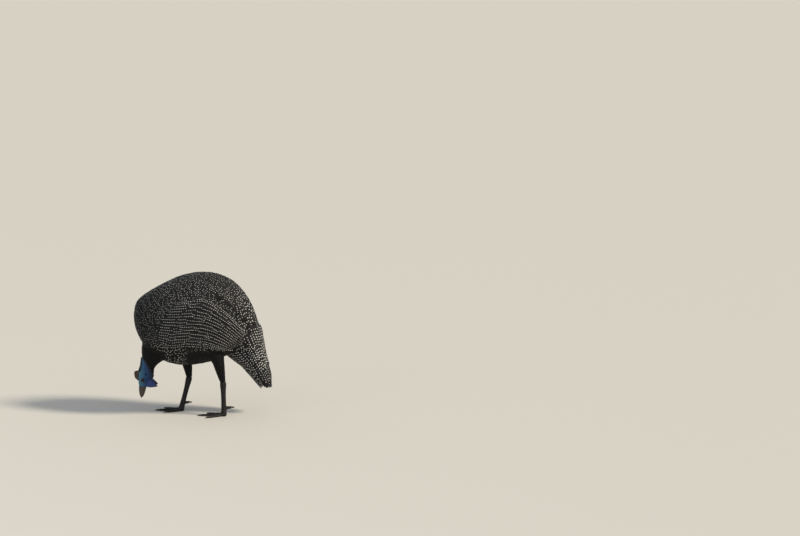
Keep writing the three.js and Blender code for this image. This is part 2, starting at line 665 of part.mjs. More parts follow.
// Long feathers on each side of the tail's ridge, the middle pair on top, then the coverts above and below
const onLeftTail = (along, angle, height) => onTail(along, -angle, height);
const halfTail = tier(onLeftTail, 7, [0.2, 1.62], (share) => [18 - 12 * share * share, 141 - 9 * share * share], {
  overlap: 0.72, lift: 0.8, tilt: 1.15, rows: LONG_ROWS,
});
const tailPieces = [
  closedRings(rumpRings),
  ...halfTail.flatMap(bothSides),
  ...tier(onTail, 7, [-1.1, 1.1], () => [-2, 80], { overlap: 0.7, lift: 4.8, tilt: 1 }),
  ...tier(onTail, 5, [-0.8, 0.8], () => [-12, 40], { overlap: 0.68, lift: 8.6, tilt: 1 }),
  ...tier(onTail, 5, [2.25, 4.03], () => [24, 129], { overlap: 0.7, lift: 0.8, tilt: 1, rows: LONG_ROWS }),
  ...tier(onTail, 4, [2.5, 3.78], () => [10, 78], { overlap: 0.68, lift: 4.6, tilt: 1 }),
];
const WING_CLEARANCE = 0.6; // clear space left round the wings' thin vanes
const wingReach = wingPieces.map((piece) => grown(piece, WING_CLEARANCE)).flatMap(bothSides);
add('tail', joined(tailPieces, [aroundTorso, ...wingReach]), PLUMAGE);

export default bird;
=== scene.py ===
# A helmeted guinea fowl, life size, with its head down to feed, seen from its left side as in the photo.
# Metres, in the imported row's frame: +Z up, the bird faces -X, its left side is towards -Y, and it stands
# on z = 0.
import bpy
import itertools
import math
import numpy as np
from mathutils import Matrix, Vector
from mathutils.bvhtree import BVHTree


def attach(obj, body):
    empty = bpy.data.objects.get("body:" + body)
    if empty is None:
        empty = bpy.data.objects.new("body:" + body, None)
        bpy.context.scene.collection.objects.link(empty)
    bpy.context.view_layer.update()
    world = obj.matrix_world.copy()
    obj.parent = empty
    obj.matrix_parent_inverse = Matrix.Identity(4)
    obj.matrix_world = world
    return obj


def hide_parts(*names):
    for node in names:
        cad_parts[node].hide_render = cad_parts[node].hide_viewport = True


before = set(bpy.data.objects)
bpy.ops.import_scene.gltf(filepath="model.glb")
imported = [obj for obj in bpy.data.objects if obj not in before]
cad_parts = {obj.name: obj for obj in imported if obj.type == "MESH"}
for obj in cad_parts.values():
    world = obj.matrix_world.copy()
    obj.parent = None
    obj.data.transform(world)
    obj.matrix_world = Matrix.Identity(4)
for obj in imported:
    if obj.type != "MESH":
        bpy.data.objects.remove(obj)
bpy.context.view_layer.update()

# The real bird's skin runs without a seam over the neck, trunk, thighs and the fleshy parts of wings and
# tail, and is bare and blue on the head. Here it is one mesh, remeshed from the solids' shapes and drawn in
# by the coat's depth.


def linear(hex_colour):
    """An sRGB hex colour as linear RGBA."""
    parts = [int(hex_colour[i:i + 2], 16) / 255 for i in (1, 3, 5)]
    return [c / 12.92 if c <= 0.04045 else ((c + 0.055) / 1.055) ** 2.4 for c in parts] + [1.0]


def add_node(tree, kind, inputs=None, links=None, **settings):
    """Adds a shader node with its settings, input values and links from other nodes' sockets."""
    node = tree.nodes.new(kind)
    for name, value in settings.items():
        setattr(node, name, value)
    for name, value in (inputs or {}).items():
        node.inputs[name].default_value = value
    for name, socket in (links or {}).items():
        tree.links.new(socket, node.inputs[name])
    return node


def new_material(name, roughness, ior, coat=0.0):
    """A material with one Principled shader. Returns the material, its tree and the shader."""
    made = bpy.data.materials.new(name)
    made.use_nodes = True
    tree = made.node_tree
    shader = tree.nodes["Principled BSDF"]
    shader.inputs["Roughness"].default_value = roughness
    shader.inputs["IOR"].default_value = ior
    shader.inputs["Coat Weight"].default_value = coat
    return made, tree, shader


def smooth(knots, t):
    """The smooth value at t, from 0 to 1, through evenly spaced knots."""
    knots = np.asarray(knots, float)
    last = len(knots) - 1
    place = np.clip(t, 0, 1) * last
    i = np.minimum(np.floor(place).astype(int), last - 1)
    f = place - i
    a, b, c, d = (knots[np.clip(i + k, 0, last)] for k in (-1, 0, 1, 2))
    square = 2 * a - 5 * b + 4 * c - d
    cube = 3 * b - a - 3 * c + d
    return 0.5 * (2 * b + (c - a) * f + square * f * f + cube * f ** 3)


def smoothstep(low, high, value):
    """0 below low, 1 above high, with an eased rise between."""
    t = np.clip((value - low) / (high - low), 0, 1)
    return t * t * (3 - 2 * t)


def linked(name, data):
    """A new object in the scene around a mesh, a light or a camera."""
    made = bpy.data.objects.new(name, data)
    bpy.context.scene.collection.objects.link(made)
    return made


def mesh_object(name, vertices, faces):
    """An object from vertices in metres and a list of faces."""
    mesh = bpy.data.meshes.new(name)
    mesh.from_pydata([tuple(v) for v in vertices], [], faces)
    mesh.update()
    return linked(name, mesh)


def plate_faces(rows, columns):
    """Quads of a closed thin plate: an outer grid of points, then an inner one."""
    def at(i, j):
        return i * columns + j
    back = rows * columns
    quads = []
    for i in range(rows - 1):
        for j in range(columns - 1):
            quad = (at(i, j), at(i, j + 1), at(i + 1, j + 1), at(i + 1, j))
            quads.append(quad)
            quads.append(tuple(back + k for k in reversed(quad)))
    edge = [at(0, j) for j in range(columns)] + [at(i, columns - 1) for i in range(1, rows)]
    edge += [at(rows - 1, j) for j in range(columns - 2, -1, -1)] + [at(i, 0) for i in range(rows - 2, 0, -1)]
    for k, a in enumerate(edge):
        b = edge[(k + 1) % len(edge)]
        quads.append((b, a, back + a, back + b))
    return np.array(quads)


def tube_faces(rows, columns):
    """Quads of a tube without its ends: rows of points along it, columns round it."""
    quads = []
    for i in range(rows - 1):
        for j in range(columns):
            after = (j + 1) % columns
            here, ahead = i * columns, (i + 1) * columns
            quads.append((here + j, ahead + j, ahead + after, here + after))
    return quads


# The trunk seen from the side, as in the solids: x, its top, its bottom and its half width there.
# Millimetres.
TRUNK = np.array([
    [-166, 240, 236, 2], [-160, 271, 204, 32], [-139, 292, 165, 53], [-100, 315, 132, 69],
    [-50, 338, 119, 79], [0, 346, 123, 81], [45, 339, 136, 75], [85, 315, 157, 61], [115, 273, 180, 43],
    [130, 235, 199, 22],
    [134, 216, 212, 2],
], float)
TRUNK_DENSE = np.array([[smooth(TRUNK[:, k], t) for k in range(4)] for t in np.linspace(0, 1, 400)])


def trunk_half_width(x, z):
    """Half width of the trunk at a place seen from the side."""
    top, bottom, half = (np.interp(x, TRUNK_DENSE[:, 0], TRUNK_DENSE[:, k]) for k in (1, 2, 3))
    level = bottom + 0.46 * (top - bottom)
    reach = np.where(z > level, top - level, level - bottom)
    share = np.clip(np.abs(z - level) / reach, 0, 0.98)
    return half * (1 - share ** 2.2) ** (1 / 2.2)


def over_left_side(x, z, height):
    """A point over the trunk's left side, at a height above it."""
    slope_x = (trunk_half_width(x + 2, z) - trunk_half_width(x - 2, z)) / 4
    slope_z = (trunk_half_width(x, z + 2) - trunk_half_width(x, z - 2)) / 4
    out = np.stack([-slope_x, -np.ones_like(slope_x), -slope_z], -1)
    out /= np.linalg.norm(out, axis=-1, keepdims=True)
    return np.stack([x, -trunk_half_width(x, z), z], -1) + out * np.asarray(height)[..., None]


# The wing's corners over the trunk, x and z, each from its lowest lane to its highest. Its rows bow upwards.
WING_FRONT = [[-112, 187], [-129, 206], [-129, 232], [-116, 257], [-92, 279]]
WING_ROOTS = [[-78, 174], [-58, 210], [-28, 254], [6, 294]]
WING_TIPS = [[44, 166], [76, 169], [97, 182], [106, 206]]
WING_BOW = [7, 20, 11]


def at_lane(line, axis, lane):
    """One coordinate of a line of places, at a lane from 0 to 1."""
    return smooth([place[axis] for place in line], lane)


def on_wing(along, lane, height):
    """A point of the left wing: along from -1 at its front to 1 at its tips, lane from low to high."""
    along, lane, height = np.broadcast_arrays(*(np.asarray(v, float) for v in (along, lane, height)))
    share = np.abs(along)
    bow = np.where(along > 0, smooth(WING_BOW, lane) * np.sin(np.pi * np.minimum(share, 1)), 0)
    ends = [np.where(along > 0, at_lane(WING_TIPS, k, lane), at_lane(WING_FRONT, k, lane)) for k in (0, 1)]
    x, z = (at_lane(WING_ROOTS, k, lane) * (1 - share) + ends[k] * share for k in (0, 1))
    return over_left_side(x, z + bow, height)


TAIL_ROOT = np.array([88, 0, 185.0])
TAIL_WAY = np.array([0.45, 0, -0.893])
TAIL_TOP = np.array([0.893, 0, 0.45])
TAIL_START, TAIL_LENGTH = -20, 160
TAIL_BEND = [0, 0, 3, 6, 7, 7, 4]
TAIL_DEEP = [56, 50, 40, 31, 26, 21, 12]
TAIL_WIDE = [44, 42, 38, 35, 32, 28, 22]


def on_tail(along, angle, height):
    """A point of the tail: along its middle line, an angle round it from its upper side, and a height."""
    along, angle, height = np.broadcast_arrays(*(np.asarray(v, float) for v in (along, angle, height)))
    t = (along - TAIL_START) / TAIL_LENGTH
    up = smooth(TAIL_BEND, t) + (smooth(TAIL_DEEP, t) + height) * np.cos(angle)
    side = (smooth(TAIL_WIDE, t) + height) * np.sin(angle)
    place = TAIL_ROOT + along[..., None] * TAIL_WAY + up[..., None] * TAIL_TOP
    return place + side[..., None] * np.array([0, 1.0, 0])


def mirror(points):
    """The same points on the bird's other side."""
    return points * np.array([1, -1, 1])


ARM_END = 0.16  # how far the flesh reaches along the long feathers
ARM_RISE = [0.3, 5.5, 7.5, 8.2, 7.4, 5.4, 3.2, 0.2]
ARM_LIFT, ARM_SUNK = 0.4, -4.0  # its lowest edge and its underside, from the trunk's surface


def arm_mesh(name, side):
    """The fleshy arm of one wing, thick at the front and thin at the long feathers' roots."""
    along, lane = np.meshgrid(np.linspace(-1, ARM_END, 28), np.linspace(0, 1, 24), indexing="ij")
    rise = smooth(ARM_RISE, (along + 1) / (1 + ARM_END))
    height = ARM_LIFT + rise * np.sin(np.pi * np.clip(lane, 0.03, 0.97)) ** 0.4
    grids = [on_wing(along, lane, height), on_wing(along, lane, ARM_SUNK)]
    points = np.concatenate([g.reshape(-1, 3) for g in grids])
    faces = plate_faces(*along.shape)
    if side > 0:
        points, faces = mirror(points), faces[:, ::-1]
    return mesh_object(name, points / 1000, faces.tolist())


RUMP_LENGTH = 104
RUMP_RISE = [2, 6, 5.6, -1.5, -3.4, -3.6, -4]
RUMP_CLOSE = 8  # how far the last ring draws in


def rump_mesh():
    """The fleshy root of the tail with the down round it."""
    turns = np.linspace(0, 2 * np.pi, 48, endpoint=False)
    share, angle = np.meshgrid(np.linspace(0, 1, 24), turns, indexing="ij")
    height = smooth(RUMP_RISE, share) - RUMP_CLOSE * (share == 1)
    points = on_tail(TAIL_START + RUMP_LENGTH * share, angle, height)
    rows, columns = share.shape
    faces = tube_faces(rows, columns)
    faces += [tuple(range(columns)), tuple(range((rows - 1) * columns, rows * columns))[::-1]]
    return mesh_object("rump", points.reshape(-1, 3) / 1000, faces)


def remeshed(name, sources, voxel, smoothing):
    """One closed surface over several objects."""
    copies = [linked(name, source.data.copy()) for source in sources]
    whole = copies[0]
    with bpy.context.temp_override(active_object=whole, selected_editable_objects=copies,
                                   selected_objects=copies):
        bpy.ops.object.join()
    remesh = whole.modifiers.new("remesh", "REMESH")
    remesh.mode = "VOXEL"
    remesh.voxel_size = voxel
    soften = whole.modifiers.new("soften", "SMOOTH")
    soften.factor = 0.5
    soften.iterations = smoothing
    done = bpy.data.meshes.new_from_object(whole.evaluated_get(bpy.context.evaluated_depsgraph_get()))
    bpy.data.objects.remove(whole)
    return linked(name, done)


def read_vertices(mesh):
    """A mesh's vertices as an array."""
    flat = np.empty(3 * len(mesh.vertices))
    mesh.vertices.foreach_get("co", flat)
    return flat.reshape(-1, 3)


def read_normals(mesh):
    """A mesh's vertex normals as an array."""
    flat = np.empty(3 * len(mesh.vertices))
    mesh.vertex_normals.foreach_get("vector", flat)
    return flat.reshape(-1, 3)


flesh = [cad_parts[n] for n in ("torso", "neck", "head", "thigh_left", "thigh_right")]
helpers = [arm_mesh("arm_left", -1), arm_mesh("arm_right", 1), rump_mesh()]
COAT_DEPTH = 0.0022
JOIN = np.array([-0.134, 0, 0.117])  # the feathers end here, in a plane sloping from nape to throat
BARE_WAY = np.array([-0.82, 0, -0.57])  # out of the feathers, into the bare skin


def feathered(points):
    """1 where feathers grow and 0 on the bare head."""
    return smoothstep(-0.002, 0.005, -(points - JOIN) @ BARE_WAY)


shanks = [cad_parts[n] for n in ("shank_left", "shank_right")]
carrier = remeshed("carrier", flesh + helpers + shanks, 0.0022, 12)
skin = remeshed("skin", flesh + helpers, 0.0007, 3)
places = read_vertices(skin.data)
keep_fine = skin.vertex_groups.new(name="coarsen")
coarse = feathered(places)
for level in (0.0, 0.25, 0.5, 0.75, 1.0):
    chosen = np.nonzero(np.abs(coarse - level) <= 0.125)[0]
    keep_fine.add(chosen.tolist(), 0.02 + 0.98 * level, "REPLACE")
thin = skin.modifiers.new("thin", "DECIMATE")
thin.ratio = 0.14
thin.vertex_group = "coarsen"
thinned = bpy.data.meshes.new_from_object(skin.evaluated_get(bpy.context.evaluated_depsgraph_get()))
skin.modifiers.clear()
skin.data = thinned
places, normals = read_vertices(skin.data), read_normals(skin.data)

# The head's own frame, and the places of eye and ear in it: millimetres along the bill and out of the crown
HEAD_MIDDLE = np.array([-0.139, 0, 0.088])
BEAK_WAY = np.array([-0.16, 0, -0.987])
CROWN_WAY = np.array([-0.987, 0, 0.16])
EYE_AT, EAR_AT = (5, 3.5), (-10, -1)


def head_point(beak, crown, side=0.0):
    """A point of the head in millimetres along the bill, out of the crown and out of the left side."""
    return HEAD_MIDDLE + (BEAK_WAY * beak + CROWN_WAY * crown + np.array([0, -1.0, 0]) * side) / 1000


def face_relief(points):
    """How far the bare skin stands out, in millimetres: lids, ear, folds of throat and nape, fine warts."""
    beak, crown = ((points - HEAD_MIDDLE) @ way * 1000 for way in (BEAK_WAY, CROWN_WAY))
    to_eye = np.hypot(beak - EYE_AT[0], (crown - EYE_AT[1]) * 1.18)
    lids = 0.95 * np.exp(-((to_eye - 6.3) / 0.95) ** 2) + 0.28 * np.exp(-((to_eye - 8.4) / 0.5) ** 2)
    lids += 0.16 * np.cos(to_eye * 3.4) * smoothstep(14, 9, to_eye) * smoothstep(7.5, 9, to_eye)
    brow = 0.5 * np.exp(-((crown - 10.5) / 1.6) ** 2 - ((beak - 3) / 9) ** 2)
    to_ear = np.hypot(beak - EAR_AT[0], crown - EAR_AT[1])
    ear = 0.55 * np.exp(-((to_ear - 3.2) / 0.8) ** 2) - 1.1 * np.exp(-(to_ear / 1.5) ** 2)
    sideways = np.abs(points[:, 1]) * 1000
    folds = 0.13 * np.sin(2.1 * beak + 0.5 * crown + 1.6 * np.sin(0.45 * sideways + 0.3 * crown))
    folds += 0.09 * np.sin(1.3 * beak - 0.9 * crown + 1.1 * np.sin(0.8 * sideways))
    on_throat = smoothstep(-4, -9, crown) * smoothstep(9, 2, beak)
    folds *= smoothstep(-8, -14, beak) * smoothstep(4.5, 7, to_ear) + on_throat
    gape = -0.6 * np.exp(-((crown + 0.5 + 0.04 * (beak - 22) ** 2) / 0.6) ** 2) * smoothstep(13, 17, beak)
    warts = 0.11 * np.sin(5.1 * beak + 1.7 * sideways) * np.sin(4.7 * crown - 2.3 * beak)
    warts *= smoothstep(7.4, 9, to_eye)
    on_side = smoothstep(2, 6, sideways)
    return (lids + ear + brow + gape) * on_side + folds + warts


bald = 1 - feathered(places)
places = places + normals * (face_relief(places) * bald / 1000 - COAT_DEPTH * (1 - bald))[:, None]
skin.data.vertices.foreach_set("co", places.ravel())
skin.data.shade_smooth()
skin.data.update()
for helper in helpers:
    bpy.data.objects.remove(helper)

# Blue bare skin, pale over the nape and deep blue at the throat, the throat's dark blue partly painted shade,
# with wrinkles about 1 mm apart that catch the light, and near-black skin under the feathers, so that no gap
# between two vanes shows
bare_skin, tree, shader = new_material("bare and feathered skin", 0.55, 1.4)
shader.inputs["Subsurface Weight"].default_value = 0.08
shader.inputs["Subsurface Scale"].default_value = 0.002
place = add_node(tree, "ShaderNodeTexCoord").outputs["Object"]
axes = add_node(tree, "ShaderNodeSeparateXYZ", links={"Vector": place})
# From 0 at the nape, towards -X, to 1 at the throat
across = add_node(tree, "ShaderNodeMapRange", {"From Min": -0.152, "From Max": -0.120},
                  {"Value": axes.outputs["X"]})
wrinkles = add_node(tree, "ShaderNodeTexNoise", {"Scale": 900.0, "Detail": 4.0}, {"Vector": place})
# The blue darkens from nape to throat: partly the skin's own blue and partly painted shade on the throat
blues_with_painted_throat_shade = add_node(tree, "ShaderNodeValToRGB", links={"Fac": across.outputs["Result"]})
blues_with_painted_throat_shade.color_ramp.elements[0].color = linear("#437890")
blues_with_painted_throat_shade.color_ramp.elements[1].color = linear("#0a123c")
middle_blue = blues_with_painted_throat_shade.color_ramp.elements.new(0.45)
middle_blue.color = linear("#18446e")
mottled = add_node(tree, "ShaderNodeMix", {"Factor": 0.25}, data_type="RGBA", blend_type="MULTIPLY")
tree.links.new(blues_with_painted_throat_shade.outputs["Color"], mottled.inputs[6])
tree.links.new(wrinkles.outputs["Color"], mottled.inputs[7])
inwards = add_node(tree, "ShaderNodeVectorMath", operation="DOT_PRODUCT")
tree.links.new(place, inwards.inputs[0])
inwards.inputs[1].default_value = -BARE_WAY
edge = float(-BARE_WAY @ JOIN)
coated = add_node(tree, "ShaderNodeMapRange", {"From Min": edge - 0.001, "From Max": edge + 0.005},
                  {"Value": inwards.outputs["Value"]})
# Behind the head all is feathered, whatever its height
behind_head = add_node(tree, "ShaderNodeMapRange", {"From Min": -0.105, "From Max": -0.100},
                       {"Value": axes.outputs["X"]})
clothed = add_node(tree, "ShaderNodeMath", operation="MAXIMUM")
tree.links.new(coated.outputs["Result"], clothed.inputs[0])
tree.links.new(behind_head.outputs["Result"], clothed.inputs[1])
dressed = add_node(tree, "ShaderNodeMix", links={"Factor": clothed.outputs["Value"]}, data_type="RGBA")
tree.links.new(mottled.outputs[2], dressed.inputs[6])
dressed.inputs[7].default_value = linear("#0d0d0f")
tree.links.new(dressed.outputs[2], shader.inputs["Base Color"])
grain = add_node(tree, "ShaderNodeBump", {"Strength": 0.35, "Distance": 0.0004},
                 {"Height": wrinkles.outputs["Fac"]})
tree.links.new(grain.outputs["Normal"], shader.inputs["Normal"])
skin.data.materials.clear()
skin.data.materials.append(bare_skin)
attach(skin, "root")
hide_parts("torso", "neck", "head", "thigh_left", "thigh_right")

# Small contour feathers grow from the skin in overlapping rows and lie along the body, each a broad rounded
# vane. Here each is a closed thin vane over the skin, its points laid on the surface along the lie of the
# plumage.

BODY_AXIS = np.array([
    [-139, 88], [-134, 108], [-126, 132], [-116, 155], [-106, 178], [-88, 203], [-60, 222], [-20, 235],
    [25, 238], [70, 232], [100, 215], [122, 190], [136, 155], [148, 115], [160, 70],
], float) / 1000
LEG_AXES = {-1: [[0.028, 0.166], [0.037, 0.138], [0.043, 0.110], [0.049, 0.084]],
            1: [[-0.044, 0.160], [-0.042, 0.134], [-0.037, 0.108], [-0.033, 0.084]]}
THIGH_Y = 0.038


def leg_share(points):
    """1 on the feathered thighs below the belly, else 0, and each point's leg side."""
    side = np.where(points[:, 1] > 0, 1, -1)
    share = np.zeros(len(points))
    way = np.zeros((len(points), 3))
    for leg, line in LEG_AXES.items():
        line = np.array(line)
        z = points[:, 2]
        x = np.interp(z, line[::-1, 1], line[::-1, 0])
        near = np.hypot(points[:, 0] - x, np.abs(points[:, 1]) - THIGH_Y)
        inside = (side == leg) * smoothstep(0.034, 0.026, near) * smoothstep(0.146, 0.132, z)
        step = line[-1] - line[0]
        share = np.maximum(share, inside)
        way += inside[:, None] * np.array([step[0], 0, step[1]]) / np.hypot(*step)
    return share, way


def unit(vectors):
    """The same vectors at length 1."""
    return vectors / (np.linalg.norm(vectors, axis=-1, keepdims=True) + 1e-12)


def lie(points):
    """The direction in which the plumage lies at each point, before it is laid into the surface."""
    middles = (BODY_AXIS[1:] + BODY_AXIS[:-1]) / 2
    ways = BODY_AXIS[1:] - BODY_AXIS[:-1]
    lengths = np.linalg.norm(ways, axis=1, keepdims=True)
    ways = ways / lengths
    away = ((points[:, None, [0, 2]] - middles[None]) ** 2).sum(2)
    nearest = away.min(1, keepdims=True)
    weight = np.exp(-(away - nearest) / (2 * 0.030 ** 2)) * lengths[:, 0]
    flat = (weight[:, :, None] * ways[None]).sum(1)
    flat /= np.linalg.norm(flat, axis=1, keepdims=True) + 1e-9
    way = np.stack([flat[:, 0], np.zeros(len(points)), flat[:, 1]], 1)
    on_flank = smoothstep(0.050, 0.066, np.abs(points[:, 1])) * smoothstep(-0.15, -0.11, points[:, 0])
    drop = -3.5 * (points[:, 0] + 0.03) * smoothstep(0.30, 0.25, points[:, 2])
    level = unit(np.stack([np.ones(len(points)), np.zeros(len(points)), drop], 1))
    way = way + 0.75 * on_flank[:, None] * (level - way)
    legs, down = leg_share(points)
    return way * (1 - legs[:, None]) + down


surface = BVHTree.FromObject(carrier, bpy.context.evaluated_depsgraph_get())
surface_normals = read_normals(carrier.data)
surface_points = read_vertices(carrier.data)
surface_corners = np.array([(list(p.vertices) + [p.vertices[0]])[:4] for p in carrier.data.polygons])


def laid(points):
    """The nearest places on the surface and its smooth normals there."""
    found = [surface.find_nearest(Vector(p)) for p in points]
    hits = np.array([f[0] for f in found])
    around = surface_normals[surface_corners[[f[2] for f in found]]].mean(1)
    return hits, around / np.linalg.norm(around, axis=1, keepdims=True)


# The line where the folded wing's upper edge meets the back, x and then z. Painted black shade runs along it.
WING_EDGE = ([0.0, 0.03, 0.065, 0.106], [0.308, 0.295, 0.266, 0.212])
NECK_TOP, NECK_BACK, NECK_SIDE = 0.178, -0.088, 0.044  # where the black neck ends, up, back and sideways


def tracts(points, normals):
    """For each root: spacing, length, width, spot size and how dark the feather is, painted shade included.
    """
    x, y, z = points.T
    neck = smoothstep(NECK_TOP, 0.150, z) * smoothstep(NECK_BACK, -0.100, x)
    neck = neck * smoothstep(NECK_SIDE, 0.036, np.abs(y))
    low_neck = np.clip((z - 0.119) / 0.05, 0, 1)
    legs, _ = leg_share(points)
    drum = np.clip((z - 0.086) / 0.035, 0, 1)
    # Painted shade: feathers that face downwards are darkened
    painted_underside_shade = smoothstep(-0.30, -0.62, normals[:, 2]) * (1 - neck)
    # The low belly is drawn black and without spots, partly its own dark plumage and partly painted shade
    belly_with_painted_shade = smoothstep(-0.062, -0.042, x) * smoothstep(0.170, 0.158, z) * smoothstep(0.080, 0.062, x)
    rump = smoothstep(0.055, 0.105, x)
    front = smoothstep(-0.095, -0.135, x) * (1 - neck)
    spacing = 6.6 + 0.8 * rump - 1.0 * front
    length = 22 + 7 * rump - 4 * front
    width = 15.5 + 4 * rump - 3 * front
    spot = 1.35 + 1.3 * rump - 0.25 * front
    spot += 0.7 * smoothstep(0.185, 0.155, z) * (1 - rump)
    spot -= 0.2 * smoothstep(0.30, 0.335, z) * (1 - rump)
    fold = np.interp(x, *WING_EDGE)
    # Painted shade in the crease along the wing's upper edge
    painted_crease_shade = smoothstep(0.008, 0.004, np.abs(z - fold)) * (x > 0.012) * (x < 0.112) * (np.abs(y) > 0.03)
    for share, values in ((neck, (2.5 + 2.8 * low_neck, 8 + 9 * low_neck, 4.6 + 5.5 * low_neck, 0 * z)),
                          (belly_with_painted_shade, (6.0 + 0 * z, 20 + 0 * z, 13 + 0 * z, 0 * z)),
                          (legs, (2.6 + 1.7 * drum, 7 + 8 * drum, 4.2 + 4.6 * drum, 0 * z))):
        spacing, length, width, spot = (a * (1 - share) + b * share for a, b in
                                        zip((spacing, length, width, spot), values))
    # dark includes painted shade: up to 0.8 on the underside, and on the belly
    dark = np.clip(np.maximum.reduce([neck, legs, belly_with_painted_shade, 0.8 * painted_underside_shade, 0.5 * front]), 0, 1)
    # The crease is painted black as shade, and its spots are left out
    dark, spot = np.maximum(dark, painted_crease_shade), spot * (painted_crease_shade < 0.5)
    return spacing / 1000, length / 1000, width / 1000, spot / 1000, dark


chance = np.random.default_rng(17)
CELL = 0.004  # the cubes that roots are sorted into
LOWEST_ROOT = 0.0800  # no feather grows below this height on the legs


def crowded(k, points, spacing, key, taken):
    """Whether a root kept before is nearer than spacing to root k. taken lists the kept ones by cube."""
    reach = int(math.ceil(spacing / CELL))
    for step in itertools.product(range(-reach, reach + 1), repeat=3):
        for other in taken.get((key[0] + step[0], key[1] + step[1], key[2] + step[2]), ()):
            gap = points[other] - points[k]
            if gap @ gap < spacing ** 2:
                return True
    return False


def scatter(tries):
    """Roots spread over the feathered surface, as close together as their tract asks."""
    corners = surface_points[surface_corners]
    area = np.linalg.norm(np.cross(corners[:, 2] - corners[:, 0], corners[:, 3] - corners[:, 1]), axis=1)
    picked = chance.choice(len(area), tries, p=area / area.sum())
    u, v = chance.random((2, tries, 1))
    c = corners[picked]
    points = (c[:, 0] * (1 - u) + c[:, 1] * u) * (1 - v) + (c[:, 3] * (1 - u) + c[:, 2] * u) * v
    normals = unit(surface_normals[surface_corners[picked]].mean(1))
    dressed = (feathered(points) > 0.35) & (points[:, 2] > LOWEST_ROOT)
    points, normals = points[dressed], normals[dressed]
    spacing = tracts(points, normals)[0]
    keys = np.floor(points / CELL).astype(int)
    taken, kept = {}, []
    for k in range(len(points)):
        if not crowded(k, points, spacing[k], keys[k], taken):
            taken.setdefault(tuple(keys[k]), []).append(k)
            kept.append(k)
    return points[kept], normals[kept]


FEATHER_ROWS = np.array([0, 0.3, 0.55, 0.76, 0.91, 1.0])
FEATHER_WIDTHS = np.array([0.35, 0.82, 1.0, 0.98, 0.74, 0.30])
FEATHER_COLUMNS = np.array([-1, -0.5, 0, 0.5, 1.0])
SHEATH = 0.00012  # a vane's thickness


def feather_grids(roots, ways, lengths, widths, rise):
    """Outer and inner grids of body feathers: rows along each, columns across, laid over the surface."""
    rows, columns = len(FEATHER_ROWS), len(FEATHER_COLUMNS)
    outer = np.empty((len(roots), rows, columns, 3))
    inner = np.empty_like(outer)
    spine, normal = laid(roots)
    way = unit(ways - (ways * normal).sum(1, keepdims=True) * normal)
    t_before = 0.0
    for i, t in enumerate(FEATHER_ROWS):
        if i:
            spine, normal = laid(spine + way * (lengths * (t - t_before))[:, None])
            way = unit(way - (way * normal).sum(1, keepdims=True) * normal)
            t_before = t
        side = np.cross(normal, way)
        for j, u in enumerate(FEATHER_COLUMNS):
            back = 0.10 * lengths * u * u * smoothstep(0.6, 1.0, t)
            spread = spine + side * (u * FEATHER_WIDTHS[i] * widths / 2)[:, None] - way * back[:, None]
            spot, out = laid(spread)
            height = -COAT_DEPTH + 0.0002 + rise * t - 0.00035 * u * u * t
            outer[:, i, j] = spot + out * np.asarray(height).reshape(-1, 1)
            inner[:, i, j] = outer[:, i, j] - out * SHEATH
    return outer, inner


def bake_place(points):
    """Each point's place on an unwrap of the body: along its axis and round it."""
    away = ((points[:, None, [0, 2]] - BODY_AXIS[None]) ** 2).sum(2)
    weight = np.exp(-(away - away.min(1, keepdims=True)) / (2 * 0.02 ** 2))
    weight /= weight.sum(1, keepdims=True)
    along = (weight * np.linspace(0.02, 0.97, len(BODY_AXIS))).sum(1)
    middle = weight @ BODY_AXIS
    ways = lie(points)
    up = (points[:, 2] - middle[:, 1]) * ways[:, 0] - (points[:, 0] - middle[:, 0]) * ways[:, 2]
    round_it = (np.arctan2(points[:, 1], up) / (2 * np.pi)) % 1.0
    return np.stack([along, 0.01 + 0.97 * round_it], 1)


PATCH = 0.003  # how wide each part's patch is in the map for baking


def add_map(mesh, name, places, corners):
    """A UV map from a place for each of a mesh's points."""
    made = mesh.uv_layers.new(name=name)
    made.data.foreach_set("uv", places[corners].ravel())


def coat_mesh(name, points, faces, roots, local, material, vane_map=False):
    """A coat piece of many like parts, each with its patch for baking at its root's place."""
    count, each = points.shape[:2]
    corners = (faces[None] + each * np.arange(count)[:, None, None]).reshape(-1)
    sides = faces.shape[1]
    mesh = bpy.data.meshes.new(name)
    mesh.vertices.add(count * each)
    mesh.vertices.foreach_set("co", points.ravel())
    mesh.loops.add(len(corners))
    mesh.loops.foreach_set("vertex_index", corners)
    mesh.polygons.add(len(corners) // sides)
    mesh.polygons.foreach_set("loop_start", np.arange(0, len(corners), sides))
    mesh.update(calc_edges=True)
    local = np.tile(local, (count, 1))
    if vane_map:
        add_map(mesh, "Vane", local, corners)
    add_map(mesh, "OFBake", np.repeat(bake_place(roots), each, 0) + PATCH * local, corners)
    mesh.materials.append(material)
    made = linked(name, mesh)
    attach(made, "root")
    return made


def coat_piece(name, outer, inner, roots, material, shade):
    """One mesh of many vanes, with each vane's own UV map and its shade."""
    count, rows, columns = outer.shape[:3]
    points = np.concatenate([outer.reshape(count, -1, 3), inner.reshape(count, -1, 3)], 1)
    v, u = np.meshgrid(np.linspace(0, 1, rows), np.linspace(0, 1, columns), indexing="ij")
    local = np.tile(np.stack([u.ravel(), v.ravel()], 1), (2, 1))
    made = coat_mesh(name, points, plate_faces(rows, columns), roots, local, material, vane_map=True)
    tone = made.data.attributes.new("shade", "FLOAT", "POINT")
    tone.data.foreach_set("value", np.repeat(shade, 2 * rows * columns))
    made.data.shade_smooth()
    return made


